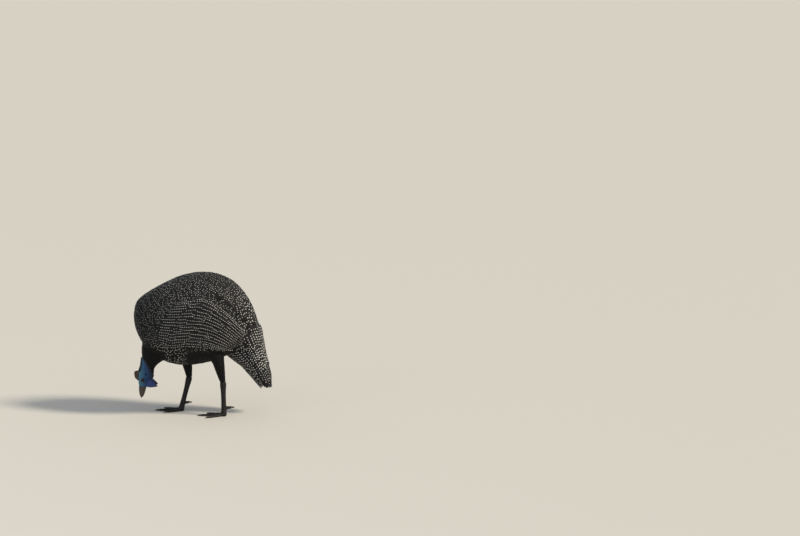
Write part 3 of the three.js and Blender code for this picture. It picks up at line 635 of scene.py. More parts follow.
def feather_material(name, roughness, mottle, dark, light, barbs, relief):
    """Slate feathers. mottle is a noise's scale and roughness, dark and light are a place and a colour."""
    made, tree, shader = new_material(name, roughness, 1.3)
    vane_uv = add_node(tree, "ShaderNodeUVMap", uv_map="Vane")
    grey = add_node(tree, "ShaderNodeTexNoise", {"Scale": mottle[0], "Detail": 3.0, "Roughness": mottle[1]},
                    {"Vector": add_node(tree, "ShaderNodeTexCoord").outputs["Object"]})
    ramp = add_node(tree, "ShaderNodeValToRGB", links={"Fac": grey.outputs["Fac"]})
    for element, (position, colour) in zip(ramp.color_ramp.elements, (dark, light)):
        element.position = position
        element.color = linear(colour)
    tree.links.new(ramp.outputs["Color"], shader.inputs["Base Color"])
    wave = add_node(tree, "ShaderNodeTexWave", barbs, {"Vector": vane_uv.outputs["UV"]},
                    bands_direction="DIAGONAL")
    bump = add_node(tree, "ShaderNodeBump", {"Strength": relief, "Distance": 0.0002},
                    {"Height": wave.outputs["Fac"]})
    tree.links.new(bump.outputs["Normal"], shader.inputs["Normal"])
    return made, tree, shader, ramp


# Slate grey mottled every 0.7 mm, which stands for the feathers' finer bars and keeps the black from looking
# flat. It turns to black by each vane's shade value, which holds the dark feathers' own black and painted
# shade under the body, on the belly and in the wing's crease. The barbs are drawn coarser than real, so that
# they show at all.
plumage, tree, shader, mottled = feather_material(
    "slate plumage", 0.7, (1500.0, 0.6), (0.44, "#0d0d0f"), (0.60, "#28282a"),
    {"Scale": 7.0, "Distortion": 0.6}, 0.25)
shade_in = add_node(tree, "ShaderNodeAttribute", attribute_name="shade")
black = add_node(tree, "ShaderNodeMix", links={"Factor": shade_in.outputs["Fac"]}, data_type="RGBA")
tree.links.new(mottled.outputs["Color"], black.inputs[6])
black.inputs[7].default_value = linear("#08080a")
tree.links.new(black.outputs[2], shader.inputs["Base Color"])

roots, root_normals = scatter(90000)
spacing, lengths, widths, spots, dark = tracts(roots, root_normals)
turn = chance.normal(0, 0.09, len(roots))
ways = lie(roots)
ways = unit(ways) + np.cross(root_normals, unit(ways)) * turn[:, None]
lengths = lengths * chance.uniform(0.9, 1.1, len(roots))
rise = (0.0006 + 0.045 * lengths) * chance.uniform(0.85, 1.15, len(roots))
outer, inner = feather_grids(roots, ways, lengths, widths, rise)
BREAST_END = -0.09
on_neck = (roots[:, 2] < NECK_TOP) * (roots[:, 0] < NECK_BACK) * (np.abs(roots[:, 1]) < NECK_SIDE)
regions = {"neck_feathers": dark * on_neck > 0.5, "thigh_feathers": leg_share(roots)[0] > 0.5}
taken = regions["neck_feathers"] | regions["thigh_feathers"]
on_breast = roots[:, 0] < BREAST_END
regions["breast_feathers"] = ~taken & on_breast
regions["flank_feathers_left"] = ~taken & ~on_breast & (roots[:, 1] < 0)
regions["flank_feathers_right"] = ~taken & ~on_breast & (roots[:, 1] >= 0)
for name, chosen in regions.items():
    coat_piece(name, outer[chosen], inner[chosen], roots[chosen], plumage, dark[chosen])

# Each dark feather carries round white spots in its web, biggest on the rump. Here every spot is a thin
# white disc let into its feather's outer face, at its own place between the vane's rows and columns.

SPOT_SIDES = 8
SPOT_TOP, SPOT_EDGE, SPOT_BASE = 0.00007, 0.00004, -0.00005  # heights over the vane, in metres


def spot_piece(name, centres, outs, alongs, sizes, stretch, roots):
    """One mesh of thin round discs lying on the feathers."""
    angle = np.linspace(0, 2 * np.pi, SPOT_SIDES, endpoint=False)
    across = unit(np.cross(outs, alongs))
    ring = alongs[:, None] * (np.cos(angle) * stretch)[None, :, None]
    ring = ring + across[:, None] * np.sin(angle)[None, :, None]
    ring = centres[:, None] + ring * (sizes / 2)[:, None, None]
    top = centres + outs * SPOT_TOP
    base = centres + outs * SPOT_BASE
    points = np.concatenate([top[:, None], ring + outs[:, None] * SPOT_EDGE, base[:, None]], 1)
    k = np.arange(SPOT_SIDES)
    after = (k + 1) % SPOT_SIDES
    last = SPOT_SIDES + 1
    faces = [np.stack([0 * k, 1 + k, 1 + after], 1), np.stack([0 * k + last, 1 + after, 1 + k], 1)]
    round_rim = 0.5 + 0.5 * np.stack([np.cos(angle), np.sin(angle)], 1)
    local = np.concatenate([[[0.5, 0.5]], round_rim, [[0.5, 0.5]]])
    coat_mesh(name, points, np.concatenate(faces), roots, local, spot_white).data.shade_flat()


def well_apart(centres, least):
    """Which spots to keep, in the given order, so that none is nearer than least to one already kept."""
    kept = []
    for k, centre in enumerate(centres):
        near = centres[kept] - centre if kept else np.empty((0, 3))
        if not ((near ** 2).sum(1) < least[k] ** 2).any():
            kept.append(k)
    return kept


OWN_VANE = 0.00025  # the ray starts this far over the spot, clear of the vane that it lies on
LOOK_OUT = 0.007


def uncovered(centres, outs, grid):
    """Whether each spot lies open, with no vane of the grid over it within a few millimetres."""
    count, rows, columns = grid.shape[:3]
    at = np.arange(count * rows * columns).reshape(count, rows, columns)
    quads = np.stack([at[:, :-1, :-1], at[:, :-1, 1:], at[:, 1:, 1:], at[:, 1:, :-1]], -1).reshape(-1, 4)
    cover = BVHTree.FromPolygons(grid.reshape(-1, 3).tolist(), quads.tolist())
    starts = centres + outs * OWN_VANE
    return np.array([cover.ray_cast(Vector(a), Vector(b), LOOK_OUT)[0] is None for a, b in zip(starts, outs)])


def on_vanes(outer, row, column):
    """Places, outward and lengthwise ways on vanes, at a row and column that may lie between grid points."""
    rows, columns = outer.shape[1:3]
    i = np.clip(np.floor(row).astype(int), 0, rows - 2)
    j = np.clip(np.floor(column).astype(int), 0, columns - 2)
    a, b = (row - i)[:, None], (column - j)[:, None]
    n = np.arange(len(outer))
    p00, p01, p10, p11 = (outer[n, i + di, j + dj] for di in (0, 1) for dj in (0, 1))
    place = (p00 * (1 - b) + p01 * b) * (1 - a) + (p10 * (1 - b) + p11 * b) * a
    along = unit((p10 - p00) * (1 - b) + (p11 - p01) * b)
    out = unit(np.cross(along, p01 - p00))
    return place, out, along


# Plain dull white, so that the spots stand out from the slate as chalky dots
spot_white, tree, shader = new_material("white of the spots", 0.7, 1.4)
shader.inputs["Base Color"].default_value = linear("#d9d8d2")
SPOT_PLACES = ((4.1, 0.8), (4.1, 3.2), (3.0, 2.0))  # row and column: two near a feather's tip, one higher
SPOT_APART = 0.0024  # the least room between two spots, beyond the size of one

chosen = np.nonzero(spots > 0.0008)[0]
found = []
for v, u in SPOT_PLACES:
    row = v + chance.normal(0, 0.10, len(chosen))
    column = u + chance.normal(0, 0.10, len(chosen))
    place, out, along = on_vanes(outer[chosen], row, column)
    found.append((place, out, along, spots[chosen] * chance.uniform(0.85, 1.15, len(chosen)), roots[chosen]))
centres, outs, alongs, sizes, owners = (np.concatenate(part) for part in zip(*found))
outs = outs * np.sign((outs * laid(centres)[1]).sum(1, keepdims=True))
order = chance.permutation(np.nonzero(uncovered(centres, outs, outer))[0])
keep = order[well_apart(centres[order], SPOT_APART + sizes[order])]
spot_piece("body_spots", centres[keep], outs[keep], alongs[keep], sizes[keep], 1.1, owners[keep])

# The long quills of the folded wings and hanging tail, each a stiff vane on a shaft, with their coverts
# above them. Here each is a closed thin vane with a raised shaft, laid out as in the solids but finer and
# more of them.

VANE_T = np.array([0, 0.08, 0.18, 0.30, 0.42, 0.54, 0.66, 0.77, 0.86, 0.93, 0.975, 1.0])
VANE_U = np.array([-1, -0.7, -0.35, -0.06, 0, 0.06, 0.35, 0.7, 1.0])


def quill_tier(over, count, lanes, ends, overlap, lift, tilt, sink, ragged=0.0):
    """Outer and inner grids of a tier of long feathers, and how far along and across it each stands."""
    share = np.linspace(0, 1, count)
    lane = lanes[0] + (lanes[1] - lanes[0]) * share
    pitch = abs(lanes[1] - lanes[0]) / (count - 1)
    starts, stops = ends(share)
    uneven = np.sin(2.4 * np.arange(count))
    starts, stops = starts + (stops - starts) * 0.011 * uneven, stops + (stops - starts) * ragged * uneven
    t, u = np.meshgrid(VANE_T, VANE_U, indexing="ij")
    width = smooth([0.62, 0.9, 1, 1, 1.06, 0.72], t)
    tipped = 0.045 * np.abs(u) ** 2 * smoothstep(0.8, 1.0, t)
    along = starts[:, None, None] + (stops - starts)[:, None, None] * (t - tipped)[None]
    across = lane[:, None, None] + pitch * overlap * (u * width)[None]
    low = 1 - smoothstep(0, 0.45, t)
    shaft = 0.22 * np.exp(-(u / 0.08) ** 2) * (1 - 0.8 * t)
    height = lift - sink * low + tilt * u * width * (1 - 0.6 * smoothstep(0.6, 1, t)) + shaft
    height = height + 0.12 * uneven[:, None, None] * smoothstep(0.5, 1, t)
    height = height - (0.9 if lift > 2 else 0) * smoothstep(0.7, 1, t)  # tips pressed down on the next tier
    thickness = 0.35 * (1 - 0.6 * t)
    return over(along, across, height) / 1000, over(along, across, height - thickness) / 1000


def closed_wing(along, lane, height):
    """A point of the left wing, whose upper lanes lie closer to the back."""
    return on_wing(along, lane, height * (1 - 0.4 * smoothstep(0.72, 0.97, lane)))


def left_of_tail(along, angle, height):
    """A point of the tail, with its angle measured towards the left."""
    return on_tail(along, -angle, height)


# A tier: how many feathers, the lanes or angles they span, where each starts and stops, how far each
# overlaps the next, its height, its sideways tilt, how deep its root sinks and how ragged its tips are.
# Millimetres.
WING_TIERS = [
    (5, (0.06, 0.17), lambda s: (-0.08 + 0 * s, 1.2 - 0.1 * s), 0.85, 4.2, -1.1, 0.6),
    (12, (0.23, 0.95), lambda s: (-0.1 + 0 * s, 1 - 0.03 * s), 0.85, 3.9, -1.05, 0.8),
    (14, (0.08, 0.95), lambda s: (-0.22 + 0 * s, 0.5 + 0.16 * s), 0.85, 6.2, -1.0, 4.0, 0.09),
    (16, (0.07, 0.95), lambda s: (-0.4 + 0 * s, 0.22 + 0.14 * s), 0.85, 7.9, -0.9, 5.0, 0.09),
    (17, (0.07, 0.94), lambda s: (-0.6 + 0 * s, -0.02 + 0.1 * s), 0.85, 9.3, -0.8, 6.0, 0.08),
    (17, (0.10, 0.92), lambda s: (-0.72 + 0 * s, -0.24 + 0.05 * s), 0.85, 10.3, -0.7, 6.0, 0.08),
]
HALF_TAIL = (9, (0.15, 1.68), lambda s: (18 - 12 * s * s, 141 - 7 * s * s), 1.0, 0.8, 0.9, 3.0)
TAIL_TIERS = [
    (11, (-1.25, 1.25), lambda s: (-4 + 0 * s, 88 + 6 * np.cos(9 * s)), 0.85, 4.2, 1.0, 3.5),
    (10, (-1.15, 1.15), lambda s: (-16 + 0 * s, 60 + 5 * np.cos(8 * s)), 0.85, 6.2, 1.0, 5.5),
    (9, (-1.05, 1.05), lambda s: (-20 + 0 * s, 32 + 5 * np.cos(7 * s)), 0.85, 7.6, 0.9, 9.0),
    (9, (1.78, 4.50), lambda s: (24 + 0 * s, 131 - 3 * np.cos(6.3 * s)), 0.85, 0.5, 1.0, 3.0),
    (9, (1.95, 4.33), lambda s: (14 + 0 * s, 100 + 4 * np.cos(9 * s)), 0.85, 2.4, 1.0, 3.5),
    (8, (2.1, 4.18), lambda s: (4 + 0 * s, 72 + 4 * np.cos(8 * s)), 0.85, 4.2, 1.0, 3.5),
]

# The same slate as the body's, a little darker and smoother, which gives the stiff quills a faint shine
quill_slate = feather_material(
    "slate quill feathers", 0.66, (1100.0, 0.65), (0.42, "#0c0c0f"), (0.64, "#252528"),
    {"Scale": 14.0, "Distortion": 0.4}, 0.3)[0]


def long_piece(name, tiers, node):
    """One piece from several tiers of long feathers, in place of a solid. Returns its outer grids."""
    outer, inner = (np.concatenate(grids) for grids in zip(*tiers))
    made = coat_piece(name, outer, inner, outer[:, 4, 4], quill_slate, np.zeros(len(outer)))
    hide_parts(node)
    return outer


def facing(tiers):
    """Tiers with their columns in the order that turns the vanes' faces outwards."""
    done = []
    for outer, inner in tiers:
        out = np.cross(outer[:, 6, 4] - outer[:, 5, 4], outer[:, 5, 5] - outer[:, 5, 3])
        flip = ((outer[:, 5, 4] - inner[:, 5, 4]) * out).sum() > 0
        done.append((outer[:, :, ::-1], inner[:, :, ::-1]) if flip else (outer, inner))
    return done


left_tiers = facing([quill_tier(closed_wing, *tier) for tier in WING_TIERS])
right_tiers = facing([tuple(mirror(grid) for grid in tier) for tier in left_tiers])
half_tail = quill_tier(left_of_tail, *HALF_TAIL)
tail_tiers = facing([half_tail, tuple(mirror(grid) for grid in half_tail)]
                    + [quill_tier(on_tail, *tier) for tier in TAIL_TIERS])
wing_left_grid = long_piece("wing_feathers_left", left_tiers, "wing_left")
wing_right_grid = long_piece("wing_feathers_right", right_tiers, "wing_right")
tail_grid = long_piece("tail_feathers", tail_tiers, "tail")


def quill_spots(name, outer, lanes, step, size, stretch):
    """Rows of spots along long feathers, one row in each named column."""
    found = []
    for vane in outer[::-1]:
        lengths = np.linalg.norm(np.diff(vane[:, 4], axis=0), axis=1)
        reach = np.concatenate([[0], np.cumsum(lengths)])
        width = np.linalg.norm(vane[6, -1] - vane[6, 0])
        for lane in lanes:
            at = np.arange(reach[-1] - size * chance.uniform(0.8, 2.2), 0.012, -step)
            row = np.interp(at, reach, np.arange(len(reach))) + chance.normal(0, 0.03, len(at))
            many = np.broadcast_to(vane, (len(at),) + vane.shape)
            place, out, along = on_vanes(many, row, np.full(len(at), lane) + chance.normal(0, 0.06, len(at)))
            across = np.minimum(size, 0.34 * width) * chance.uniform(0.85, 1.15, len(at))
            found.append((place, -out, along, across))
    centres, outs, alongs, sizes = (np.concatenate(part) for part in zip(*found))
    open_ones = np.nonzero(uncovered(centres, outs, outer))[0]
    keep = open_ones[well_apart(centres[open_ones], np.full(len(open_ones), 0.62 * step))]
    spot_piece(name, centres[keep], outs[keep], alongs[keep], sizes[keep], stretch, centres[keep])


# Two rows of small dashes on each wing feather, and four rows of bigger round spots on each tail feather
for side, grid in (("left", wing_left_grid), ("right", wing_right_grid)):
    quill_spots(f"wing_spots_{side}", grid, (1.6, 6.4), 0.0053, 0.0014, 1.35)
quill_spots("tail_spots", tail_grid, (1.1, 2.8, 5.2, 6.9), 0.0066, 0.0024, 1.1)

# A thin mane of black hair-like feathers stands along the back of the bare neck. Here a short tapered
# bristle is set on many points of a patch of the skin, leaning up the neck towards the body.

# The patch lies out of the crown and 12 to 45 mm up the neck from the head's middle, and is 18 mm wide
skin_points = read_vertices(skin.data)
nape_way = skin_points - HEAD_MIDDLE
on_nape = (nape_way @ CROWN_WAY > 0.006) & (nape_way @ BEAK_WAY < -0.012) & (nape_way @ BEAK_WAY > -0.045)
on_nape &= np.abs(skin_points[:, 1]) < 0.009
patch_faces = [list(p.vertices) for p in skin.data.polygons if all(on_nape[v] for v in p.vertices)]
used = sorted({v for f in patch_faces for v in f})
renumbered = {v: k for k, v in enumerate(used)}
hairs = mesh_object("nape_hairs", skin_points[used], [[renumbered[v] for v in f] for f in patch_faces])

# Near-black, a little lighter in places, so that single hairs show against each other
black_hair, tree, shader = new_material("black hair feathers", 0.6, 1.5)
hair_tone = add_node(tree, "ShaderNodeTexNoise", {"Scale": 400.0},
                     {"Vector": add_node(tree, "ShaderNodeTexCoord").outputs["Object"]})
hair_ramp = add_node(tree, "ShaderNodeValToRGB", links={"Fac": hair_tone.outputs["Fac"]})
hair_ramp.color_ramp.elements[0].color = linear("#0c0c0e")
hair_ramp.color_ramp.elements[1].color = linear("#222227")
tree.links.new(hair_ramp.outputs["Color"], shader.inputs["Base Color"])

group = bpy.data.node_groups.new("bristles on a patch", "GeometryNodeTree")
for name, kind in (("Geometry", "Geometry"), ("Density", "Float"), ("Length", "Float"), ("Seed", "Int")):
    group.interface.new_socket(name, in_out="INPUT", socket_type="NodeSocket" + kind)
group.interface.new_socket("Geometry", in_out="OUTPUT", socket_type="NodeSocketGeometry")
node = {name: group.nodes.new(kind) for name, kind in {
    "in": "NodeGroupInput", "out": "NodeGroupOutput", "points": "GeometryNodeDistributePointsOnFaces",
    "cone": "GeometryNodeMeshCone", "lean": "ShaderNodeVectorMath",
    "align": "FunctionNodeAlignRotationToVector", "place": "GeometryNodeInstanceOnPoints",
    "size": "FunctionNodeRandomValue", "real": "GeometryNodeRealizeInstances",
    "paint": "GeometryNodeSetMaterial",
}.items()}
HAIR_SIDES, HAIR_RINGS = 4, 3
node["cone"].inputs["Vertices"].default_value = HAIR_SIDES
node["cone"].inputs["Side Segments"].default_value = HAIR_RINGS - 1
node["cone"].inputs["Radius Top"].default_value = 0.00003
node["cone"].inputs["Radius Bottom"].default_value = 0.00012
node["lean"].operation = "ADD"
node["lean"].inputs[1].default_value = (0.25, 0.0, 1.5)
node["align"].axis = "Z"
node["size"].data_type = "FLOAT"
node["size"].inputs[2].default_value = 0.6
node["size"].inputs[3].default_value = 1.2
node["paint"].inputs["Material"].default_value = black_hair
for source, output, target, socket in (
    ("in", "Geometry", "points", "Mesh"), ("in", "Density", "points", "Density"),
    ("in", "Seed", "points", "Seed"), ("in", "Length", "cone", "Depth"),
    ("points", "Points", "place", "Points"), ("cone", "Mesh", "place", "Instance"),
    ("points", "Normal", "lean", 0), ("lean", "Vector", "align", "Vector"),
    ("align", "Rotation", "place", "Rotation"), ("size", 1, "place", "Scale"),
    ("place", "Instances", "real", "Geometry"), ("real", "Geometry", "paint", "Geometry"),
    ("paint", "Geometry", "out", "Geometry"),
):
    group.links.new(node[source].outputs[output], node[target].inputs[socket])

modifier = hairs.modifiers.new("grow", "NODES")
modifier.node_group = group
hair_values = {"Density": 1500000.0, "Length": 0.0038, "Seed": 5}
for item in group.interface.items_tree:
    if item.in_out == "INPUT" and item.name in hair_values:
        modifier[item.identifier] = hair_values[item.name]
hairs.update_tag()
grown = bpy.data.meshes.new_from_object(hairs.evaluated_get(bpy.context.evaluated_depsgraph_get()))
hairs.modifiers.clear()
hairs.data = grown
hairs.data.materials.clear()
hairs.data.materials.append(black_hair)

# Each hair's patch for baking, at the middle of its lowest ring
each = HAIR_SIDES * HAIR_RINGS
feet = read_vertices(hairs.data).reshape(-1, each, 3)[:, -HAIR_SIDES:].mean(1)
corner = np.arange(each)
local = np.stack([corner % HAIR_SIDES / (HAIR_SIDES - 1), corner // HAIR_SIDES / (HAIR_RINGS - 1)], 1)
corners = np.empty(len(hairs.data.loops), dtype=np.int32)
hairs.data.loops.foreach_get("vertex_index", corners)
patches = np.repeat(bake_place(feet), each, 0) + PATCH * np.tile(local, (len(feet), 1))
add_map(hairs.data, "OFBake", patches, corners)
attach(hairs, "root")

# The helmet on the crown is a low bony core under rough brown horn. Here it is the solid's shape made fine,
# with the horn's pits and growth lines pressed in.


def refined(name, nodes, voxel, smoothing=3):
    """A finer closed mesh over some of the solids, which it replaces."""
    made = remeshed(name, [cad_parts[n] for n in nodes], voxel, smoothing)
    made.data.shade_smooth()
    made.data.materials.clear()
    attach(made, "root")
    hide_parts(*nodes)
    return made


def two_tone(name, dark, light, roughness, scale, bump, stretch=(1, 1, 1), coat=0.0):
    """A material mottled between two colours, with a fine relief of the same grain, stretched if asked."""
    made, tree, shader = new_material(name, roughness, 1.42, coat=coat)
    place = add_node(tree, "ShaderNodeTexCoord").outputs["Object"]
    place = add_node(tree, "ShaderNodeMapping", {"Scale": stretch}, {"Vector": place}).outputs["Vector"]
    grain = add_node(tree, "ShaderNodeTexNoise", {"Scale": scale, "Detail": 4.0}, {"Vector": place})
    ramp = add_node(tree, "ShaderNodeValToRGB", links={"Fac": grain.outputs["Fac"]})
    for element, (position, colour) in zip(ramp.color_ramp.elements, ((0.35, dark), (0.68, light))):
        element.position = position
        element.color = linear(colour)
    tree.links.new(ramp.outputs["Color"], shader.inputs["Base Color"])
    relief = add_node(tree, "ShaderNodeBump", {"Strength": 0.5, "Distance": bump},
                      {"Height": grain.outputs["Fac"]})
    tree.links.new(relief.outputs["Normal"], shader.inputs["Normal"])
    return made, ramp


casque = refined("casque_horn", ["casque"], 0.0005)


def grown_out(piece, height):
    """Moves a piece's surface out along its normals by a height for each of its points, in metres."""
    points, normals = read_vertices(piece.data), read_normals(piece.data)
    points = points + normals * (height(points) if callable(height) else height)
    piece.data.vertices.foreach_set("co", points.ravel())
    piece.data.update()


def horn_ridges(points):
    """The casque's rough upright ridges, and a foot that sinks into the skin of the crown."""
    beak, crown = ((points - HEAD_MIDDLE) @ way * 1000 for way in (BEAK_WAY, CROWN_WAY))
    foot = 0.0009 * smoothstep(18.5, 15.5, crown)
    ridges = 0.00011 * np.sin(1.9 * beak + 1.5 * np.sin(0.6 * crown)) * smoothstep(15, 19, crown)
    pits = 0.00012 * np.sin(5.3 * crown + 2.1 * beak) * np.sin(4.1 * beak)
    return (foot + ridges + pits)[:, None]


grown_out(casque, horn_ridges)
# Worn dark horn with streaks a few millimetres long, which keep the casque rough and dull
casque_brown, _ = two_tone("brown horn", "#2a201b", "#54443a", 0.5, 700.0, 0.0004, stretch=(1, 1, 0.4))
casque.data.materials.append(casque_brown)

# The bill is two horny sheaths, the upper hooked over the lower. Here both are the solids' shapes made fine,
# with grain along the horn.

# Dark grey-brown with streaks along the horn and a faint gloss, which sets the hard bill off from the skin
bill_grey, _ = two_tone("grey-brown horn", "#2a2420", "#564c43", 0.42, 500.0, 0.0002, stretch=(1, 1, 0.25),
                        coat=0.1)
for half_name in ("bill_upper", "bill_lower"):
    half_bill = refined(half_name + "_horn", [half_name], 0.00035, 2)
    grown_out(half_bill, 0.00034)  # nearly closes the slit
    half_bill.data.materials.append(bill_grey)

# Dark brown eyes with a wet surface, sunk between the lids. Each is a ball with its pupil and iris drawn by
# the distance from its outward axis.

# Black pupil, dark brown iris and near-black rim under a wet surface, so that the eye stays dark
# and shines
eye_brown, tree, shader = new_material("wet dark brown eye", 0.08, 1.376, coat=0.15)
off_axis = add_node(tree, "ShaderNodeAttribute", attribute_name="off_axis")
rings = add_node(tree, "ShaderNodeValToRGB", links={"Fac": off_axis.outputs["Fac"]})
rings.color_ramp.elements[0].position = 0.40
rings.color_ramp.elements[0].color = linear("#040404")
rings.color_ramp.elements[1].position = 0.46
rings.color_ramp.elements[1].color = linear("#341c10")
for position, colour in ((0.78, "#2c180e"), (0.9, "#0d0a09")):
    rings.color_ramp.elements.new(position).color = linear(colour)
tree.links.new(rings.outputs["Color"], shader.inputs["Base Color"])
EYE_RADIUS = 0.0054
EYE_OUT = 9.3  # millimetres from the head's middle plane to the eyeball's centre
EYE_EDGE = 1.25  # the angle off its axis, in radians, where the drawn rings end
turns = np.linspace(0, 2 * np.pi, 48, endpoint=False)
turn, rise_angle = np.meshgrid(turns, np.linspace(-1, 1, 26)[1:-1] * np.pi / 2)
flat = np.cos(rise_angle)
ball = np.stack([np.cos(turn) * flat, np.sin(rise_angle), np.sin(turn) * flat], -1)
rows, columns = turn.shape
pole, last = rows * columns, (rows - 1) * columns
ball = np.concatenate([ball.reshape(-1, 3), [[0, -1.0, 0], [0, 1.0, 0]]])
faces = tube_faces(rows, columns) + [(pole, j, (j + 1) % columns) for j in range(columns)]
faces += [(pole + 1, last + (j + 1) % columns, last + j) for j in range(columns)]
for side, name in ((1, "eye_left"), (-1, "eye_right")):
    eye = mesh_object(name + "_ball", head_point(*EYE_AT, EYE_OUT * side) + ball * EYE_RADIUS, faces)
    eye.data.shade_smooth()
    facing_out = unit(np.array([[-0.25, -1.0 * side, -0.05]]))[0]
    spread = eye.data.attributes.new("off_axis", "FLOAT", "POINT")
    spread.data.foreach_set("value", np.arccos(np.clip(ball @ facing_out, -1, 1)) / EYE_EDGE)
    eye.data.materials.append(eye_brown)
    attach(eye, "root")
    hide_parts(name)

# A thin cupped lobe of blue flesh hangs from each corner of the mouth, reddish at its edge. Here it is the
# solid made fine, with the skin's wrinkles pressed in.

for side in ("left", "right"):
    lobe = refined(f"wattle_flesh_{side}", [f"wattle_{side}"], 0.00045, 4)
    # Two blues mottled like wet leather, with a dull wine red at the edge, which makes the lobe look fleshy
    wattle_blue, ramp = two_tone(f"blue wattle skin {side}", "#132561", "#1d3f7d", 0.45, 600.0, 0.0003,
                                 coat=0.15)
    tree = wattle_blue.node_tree
    shader = tree.nodes["Principled BSDF"]
    shader.inputs["Subsurface Weight"].default_value = 0.1
    shader.inputs["Subsurface Scale"].default_value = 0.002
    place = add_node(tree, "ShaderNodeTexCoord").outputs["Object"]
    where = add_node(tree, "ShaderNodeSeparateXYZ", links={"Vector": place})
    edge = add_node(tree, "ShaderNodeMapRange", {"From Min": -0.119, "From Max": -0.110},
                    {"Value": where.outputs["X"]})
    tipped = add_node(tree, "ShaderNodeMix", links={"Factor": edge.outputs["Result"]}, data_type="RGBA")
    tree.links.new(ramp.outputs["Color"], tipped.inputs[6])
    tipped.inputs[7].default_value = linear("#33182b")
    tree.links.new(tipped.outputs[2], shader.inputs["Base Color"])
    lobe.data.materials.append(wattle_blue)

# The shanks and toes are covered in dark horny plates: broad scutes down the front and over the toes, small
# scales elsewhere. Here each leg is one mesh over shank and toes, with the joints between plates pressed in.

LEG_PARTS = ("shank", "toe_inner", "toe_middle", "toe_outer", "toe_back")
ANKLES = {"left": (0.049, -0.033, 0.084), "right": (-0.033, 0.033, 0.084)}
SOLES = {"left": (0.051, -0.033, 0.009), "right": (-0.052, 0.033, 0.009)}
SCUTE, TOE_SCUTE, SMALL_SCALE = 0.0042, 0.0024, 0.0022
GROOVE = 0.00028  # the depth of a joint between plates


def to_joint(place):
    """0 in the middle of a plate and 0.5 at its joints, for a place counted in plates."""
    return np.abs(place % 1 - 0.5)


# Near-black horn with small brown flecks and no gloss, which makes the legs dark and dusty as on a live bird
leg_scales, _ = two_tone("dark grey-brown leg scales", "#0b0a09", "#191614", 0.66, 900.0, 0.0002)
for side in ("left", "right"):
    leg = refined(f"leg_scales_{side}", [f"{part}_{side}" for part in LEG_PARTS], 0.00055, 3)
    points, normals = read_vertices(leg.data), read_normals(leg.data)
    ankle, sole = np.array(ANKLES[side]), np.array(SOLES[side])
    on_shank = smoothstep(0.012, 0.018, points[:, 2])
    down = np.clip((ankle[2] - points[:, 2]) / (ankle[2] - sole[2]), 0, 1)
    middle = ankle + (sole - ankle) * down[:, None]
    round_it = np.arctan2(points[:, 1] - middle[:, 1], -(points[:, 0] - middle[:, 0]))
    front = smoothstep(1.25, 0.95, np.abs(round_it))
    plates = smoothstep(0.42, 0.5, to_joint(points[:, 2] / SCUTE + 0.12 * np.cos(2 * round_it))) * front
    halves = smoothstep(0.10, 0.03, np.abs(round_it)) * front * 0.7
    row = points[:, 2] / SMALL_SCALE
    small = smoothstep(0.36, 0.5, np.maximum(to_joint(row), to_joint(round_it / 0.5 + np.floor(row) * 0.5)))
    shank_cut = np.maximum(np.maximum(plates, halves), small * (1 - front))
    away = np.hypot(points[:, 0] - sole[0], points[:, 1] - sole[1])
    over_toe = smoothstep(0.1, 0.5, normals[:, 2]) * (1 - on_shank)
    toe_cut = smoothstep(0.38, 0.5, to_joint(away / TOE_SCUTE)) * over_toe
    points = points - normals * (GROOVE * (shank_cut * on_shank + toe_cut))[:, None]
    # The shank's top goes up into the feathers and narrows there
    points[:, 2] += 0.0035 * smoothstep(ankle[2] - 0.006, ankle[2] - 0.001, points[:, 2])
    tucked = smoothstep(ankle[2] - 0.003, ankle[2] + 0.002, points[:, 2])[:, None]
    points[:, :2] += (ankle[:2] - points[:, :2]) * 0.4 * tucked
    points[:, 2] = np.maximum(points[:, 2], 0.0)
    leg.data.vertices.foreach_set("co", points.ravel())
    leg.data.update()
    leg.data.materials.append(leg_scales)

# Blunt black claws, worn by scratching. Each is the solid made fine and kept separate from its toe.

# Black horn worn paler in fine streaks, with the most gloss of all the horn
claw_black, _ = two_tone("black claw horn", "#12100f", "#37312c", 0.38, 800.0, 0.0001, coat=0.2)
for side in ("left", "right"):
    for toe in ("inner", "middle", "outer", "back"):
        claw = refined(f"claw_horn_{toe}_{side}", [f"claw_{toe}_{side}"], 0.0004, 1)
        claw.data.materials.append(claw_black)

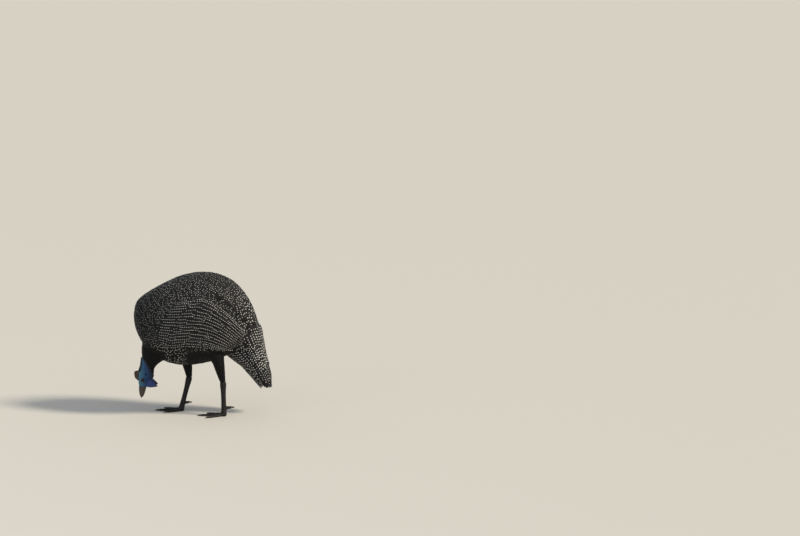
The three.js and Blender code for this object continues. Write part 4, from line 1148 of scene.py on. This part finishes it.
# A plain pale floor, a soft sun high on the right, a weak fill from the left and pale surroundings, and a
# long lens a little above the bird. The surface that carried the feathers is no longer needed.

bpy.data.objects.remove(carrier)
floor = mesh_object("floor", [(-40, -40, 0), (40, -40, 0), (40, 40, 0), (-40, 40, 0)], [(0, 1, 2, 3)])
# Pale matt grey, so that the floor shows a soft shadow and no gloss
floor_grey, tree, shader = new_material("pale matt floor", 0.9, 1.45)
shader.inputs["Base Color"].default_value = linear("#cfccc4")
floor.data.materials.append(floor_grey)

world = bpy.data.worlds.new("studio")
bpy.context.scene.world = world
world.use_nodes = True
world.node_tree.nodes["Background"].inputs["Color"].default_value = linear("#e9eef4")
world.node_tree.nodes["Background"].inputs["Strength"].default_value = 0.55


def soft_light(name, kind, place, aim, size, power, colour):
    """A light of some kind, as wide as size: an angle for a sun, a side for a square panel."""
    light = bpy.data.lights.new(name, kind)
    setattr(light, "angle" if kind == "SUN" else "size", size)
    light.energy = power
    light.color = linear(colour)[:3]
    made = linked(name, light)
    made.location = place
    made.rotation_euler = (Vector(aim) - Vector(place)).to_track_quat("-Z", "Y").to_euler()
    made.visible_camera = False


soft_light("key", "SUN", (3.0, -1.2, 2.8), (0, 0, 0.2), 0.22, 3.2, "#fff4e2")
soft_light("fill", "AREA", (-2.5, -3.0, 2.0), (0, 0, 0.15), 2.5, 18, "#e4ecff")

camera_data = bpy.data.cameras.new("camera")
camera_data.lens = 375
camera_data.sensor_width = 36
camera_data.clip_end = 200
camera = linked("camera", camera_data)
ELEVATION = math.radians(10)
DISTANCE = 20.0
LOOK_RIGHT, LOOK_UP = 0.4728, 0.3492  # from the bird's middle on the floor, across and up the picture
aim = np.array([LOOK_RIGHT, 0, 0]) + LOOK_UP * np.array([0, math.sin(ELEVATION), math.cos(ELEVATION)])
camera.location = aim - DISTANCE * np.array([0, math.cos(ELEVATION), -math.sin(ELEVATION)])
camera.rotation_euler = (math.pi / 2 - ELEVATION, 0, 0)
bpy.context.scene.camera = camera
bpy.context.scene.view_settings.view_transform = "Standard"
